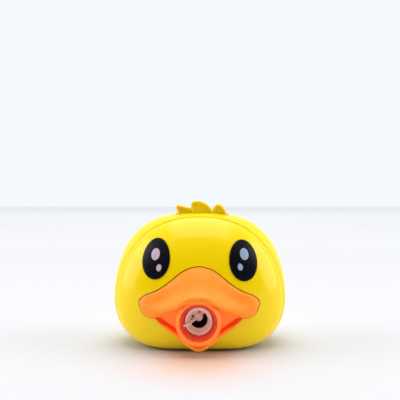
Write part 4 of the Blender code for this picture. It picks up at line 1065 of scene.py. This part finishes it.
CAMERA_DISTANCE = 0.450
CAMERA_HEIGHT = 0.1034
CAMERA_TURN = math.radians(1.15)
LENS = 55.3
BACKDROP = (0.905, 0.952, 0.992, 1.0)
FLOOR_END = 9.0
FLOOR_DROP = 0.0001
# Near the bill the floor's colour is a painted warm shadow with painted bounce light.
FLOOR_SHADOW_CENTRE = (0.0, -0.062, 0.0)
FLOOR_SHADOW_REACH = (0.014, 0.074)
FLOOR_PAINTED_SHADOW = ((0.0, (0.60, 0.43, 0.34, 1.0)), (0.35, (0.575, 0.505, 0.49, 1.0)),
              (0.7, (0.555, 0.545, 0.555, 1.0)), (1.0, (0.55, 0.555, 0.57, 1.0)))
WORLD_POWER = 1.22
FLOOR_BOUNCE = (0.70, 0.70, 0.69, 1.0)


def floor_material():
    """Matt white sweep with a painted warm shadow and painted bounce light where the bill throws
    light on it, brighter in the distance.
    """
    recipe = Recipe("floor_white")
    away = recipe.add("ShaderNodeVectorMath", operation="DISTANCE")
    recipe.join(recipe.position(), away.inputs[0])
    away.inputs[1].default_value = FLOOR_SHADOW_CENTRE
    spread = recipe.add("ShaderNodeMath", operation="ADD")
    recipe.join(recipe.value_range(away.outputs["Value"], 0.0, 1.0, *FLOOR_SHADOW_REACH),
                spread.inputs[0])
    recipe.join(recipe.value_range(recipe.noise(220.0, 3.0, 0.5), -0.03, 0.03), spread.inputs[1])
    # Camera rays see the floor with its painted warm shadow.
    seen = recipe.ramp(spread.outputs["Value"], FLOOR_PAINTED_SHADOW)
    ray = recipe.add("ShaderNodeLightPath")
    pick = recipe.add("ShaderNodeMix", data_type="RGBA")
    recipe.join(ray.outputs["Is Camera Ray"], pick.inputs["Factor"])
    pick.inputs["A"].default_value = FLOOR_BOUNCE
    recipe.join(seen, pick.inputs["B"])
    recipe.join(pick.outputs["Result"], recipe.shader.inputs["Base Color"])
    split = recipe.add("ShaderNodeSeparateXYZ")
    recipe.join(recipe.position(), split.inputs["Vector"])
    recipe.join(recipe.value_range(split.outputs["Y"], 0.0, 0.41, 0.6, 3.4),
                recipe.shader.inputs["Emission Strength"])
    recipe.set(Roughness=0.6, Specular_IOR_Level=0.0, Emission_Color=(0.93, 0.96, 1.0, 1.0))
    return recipe.material


# The surroundings brighten from dark in front to white behind and above.
WORLD_BRIGHT_SIDE = (0.0, 0.82, 0.57)
WORLD_STOPS = ((0.0, (0.04, 0.04, 0.045, 1.0)), (0.30, (0.10, 0.10, 0.11, 1.0)),
               (0.56, (0.50, 0.51, 0.53, 1.0)), (1.0, (0.95, 0.95, 0.95, 1.0)))


def studio_world():
    world = bpy.data.worlds.new("studio")
    bpy.context.scene.world = world
    world.use_nodes = True
    tree = world.node_tree
    nodes, links = tree.nodes, tree.links
    background = nodes["Background"]
    coordinates = nodes.new("ShaderNodeTexCoord")
    towards = nodes.new("ShaderNodeVectorMath")
    towards.operation = "DOT_PRODUCT"
    towards.inputs[1].default_value = WORLD_BRIGHT_SIDE
    links.new(coordinates.outputs["Generated"], towards.inputs[0])
    shift = nodes.new("ShaderNodeMapRange")
    shift.inputs["From Min"].default_value = -1.0
    shift.inputs["From Max"].default_value = 1.0
    links.new(towards.outputs["Value"], shift.inputs["Value"])
    ramp = nodes.new("ShaderNodeValToRGB")
    stops = ramp.color_ramp.elements
    stops[0].position, stops[0].color = WORLD_STOPS[0]
    stops[1].position, stops[1].color = WORLD_STOPS[-1]
    for place, color in WORLD_STOPS[1:-1]:
        stops.new(place).color = color
    links.new(shift.outputs["Result"], ramp.inputs["Fac"])
    ray = nodes.new("ShaderNodeLightPath")
    pick = nodes.new("ShaderNodeMix")
    pick.data_type = "RGBA"
    links.new(ray.outputs["Is Camera Ray"], pick.inputs["Factor"])
    links.new(ramp.outputs["Color"], pick.inputs["A"])
    pick.inputs["B"].default_value = BACKDROP
    links.new(pick.outputs["Result"], background.inputs["Color"])
    power = nodes.new("ShaderNodeMapRange")
    power.inputs["To Min"].default_value = WORLD_POWER
    power.inputs["To Max"].default_value = 1.0
    links.new(ray.outputs["Is Camera Ray"], power.inputs["Value"])
    links.new(power.outputs["Result"], background.inputs["Strength"])


# Soft boxes: name, place, target, width, height and radiance.
LIGHTS = (
    ("top_box", (0.0, 0.0, 3.0), (0.0, 0.0, 0.0), 2.6, 3.2, 2.8),
    ("left_panel", (-2.6, -0.15, 1.1), (0.0, 0.0, 0.05), 2.0, 2.2, 3.2),
    ("right_panel", (2.6, -0.15, 1.1), (0.0, 0.0, 0.05), 2.0, 2.2, 3.2),
)


def area_light(name, place, target, width, height, radiance):
    light = bpy.data.lights.new(name, "AREA")
    light.shape = "RECTANGLE"
    light.size, light.size_y = width, height
    light.energy = radiance * math.pi * width * height
    item = link(bpy.data.objects.new(name, light))
    item.location = place
    item.rotation_euler = (Vector(target) - Vector(place)).to_track_quat("-Z", "Y").to_euler()


def build_studio():
    camera = bpy.data.cameras.new("camera")
    camera.lens = LENS
    camera.sensor_width = 36.0
    eye = link(bpy.data.objects.new("camera", camera))
    eye.location = (CAMERA_DISTANCE * math.sin(CAMERA_TURN),
                    -CAMERA_DISTANCE * math.cos(CAMERA_TURN), CAMERA_HEIGHT)
    eye.rotation_euler = (math.radians(90.0), 0.0, CAMERA_TURN)
    bpy.context.scene.camera = eye

    shape = bmesh.new()
    bmesh.ops.create_grid(shape, x_segments=60, y_segments=60, size=FLOOR_END)
    floor = mesh_object("floor", shape)
    floor.location = (0.0, 0.0, -FLOOR_DROP)
    floor.data.materials.append(floor_material())

    for light in LIGHTS:
        area_light(*light)
    studio_world()
    bpy.context.scene.view_settings.view_transform = "Standard"


build_studio()
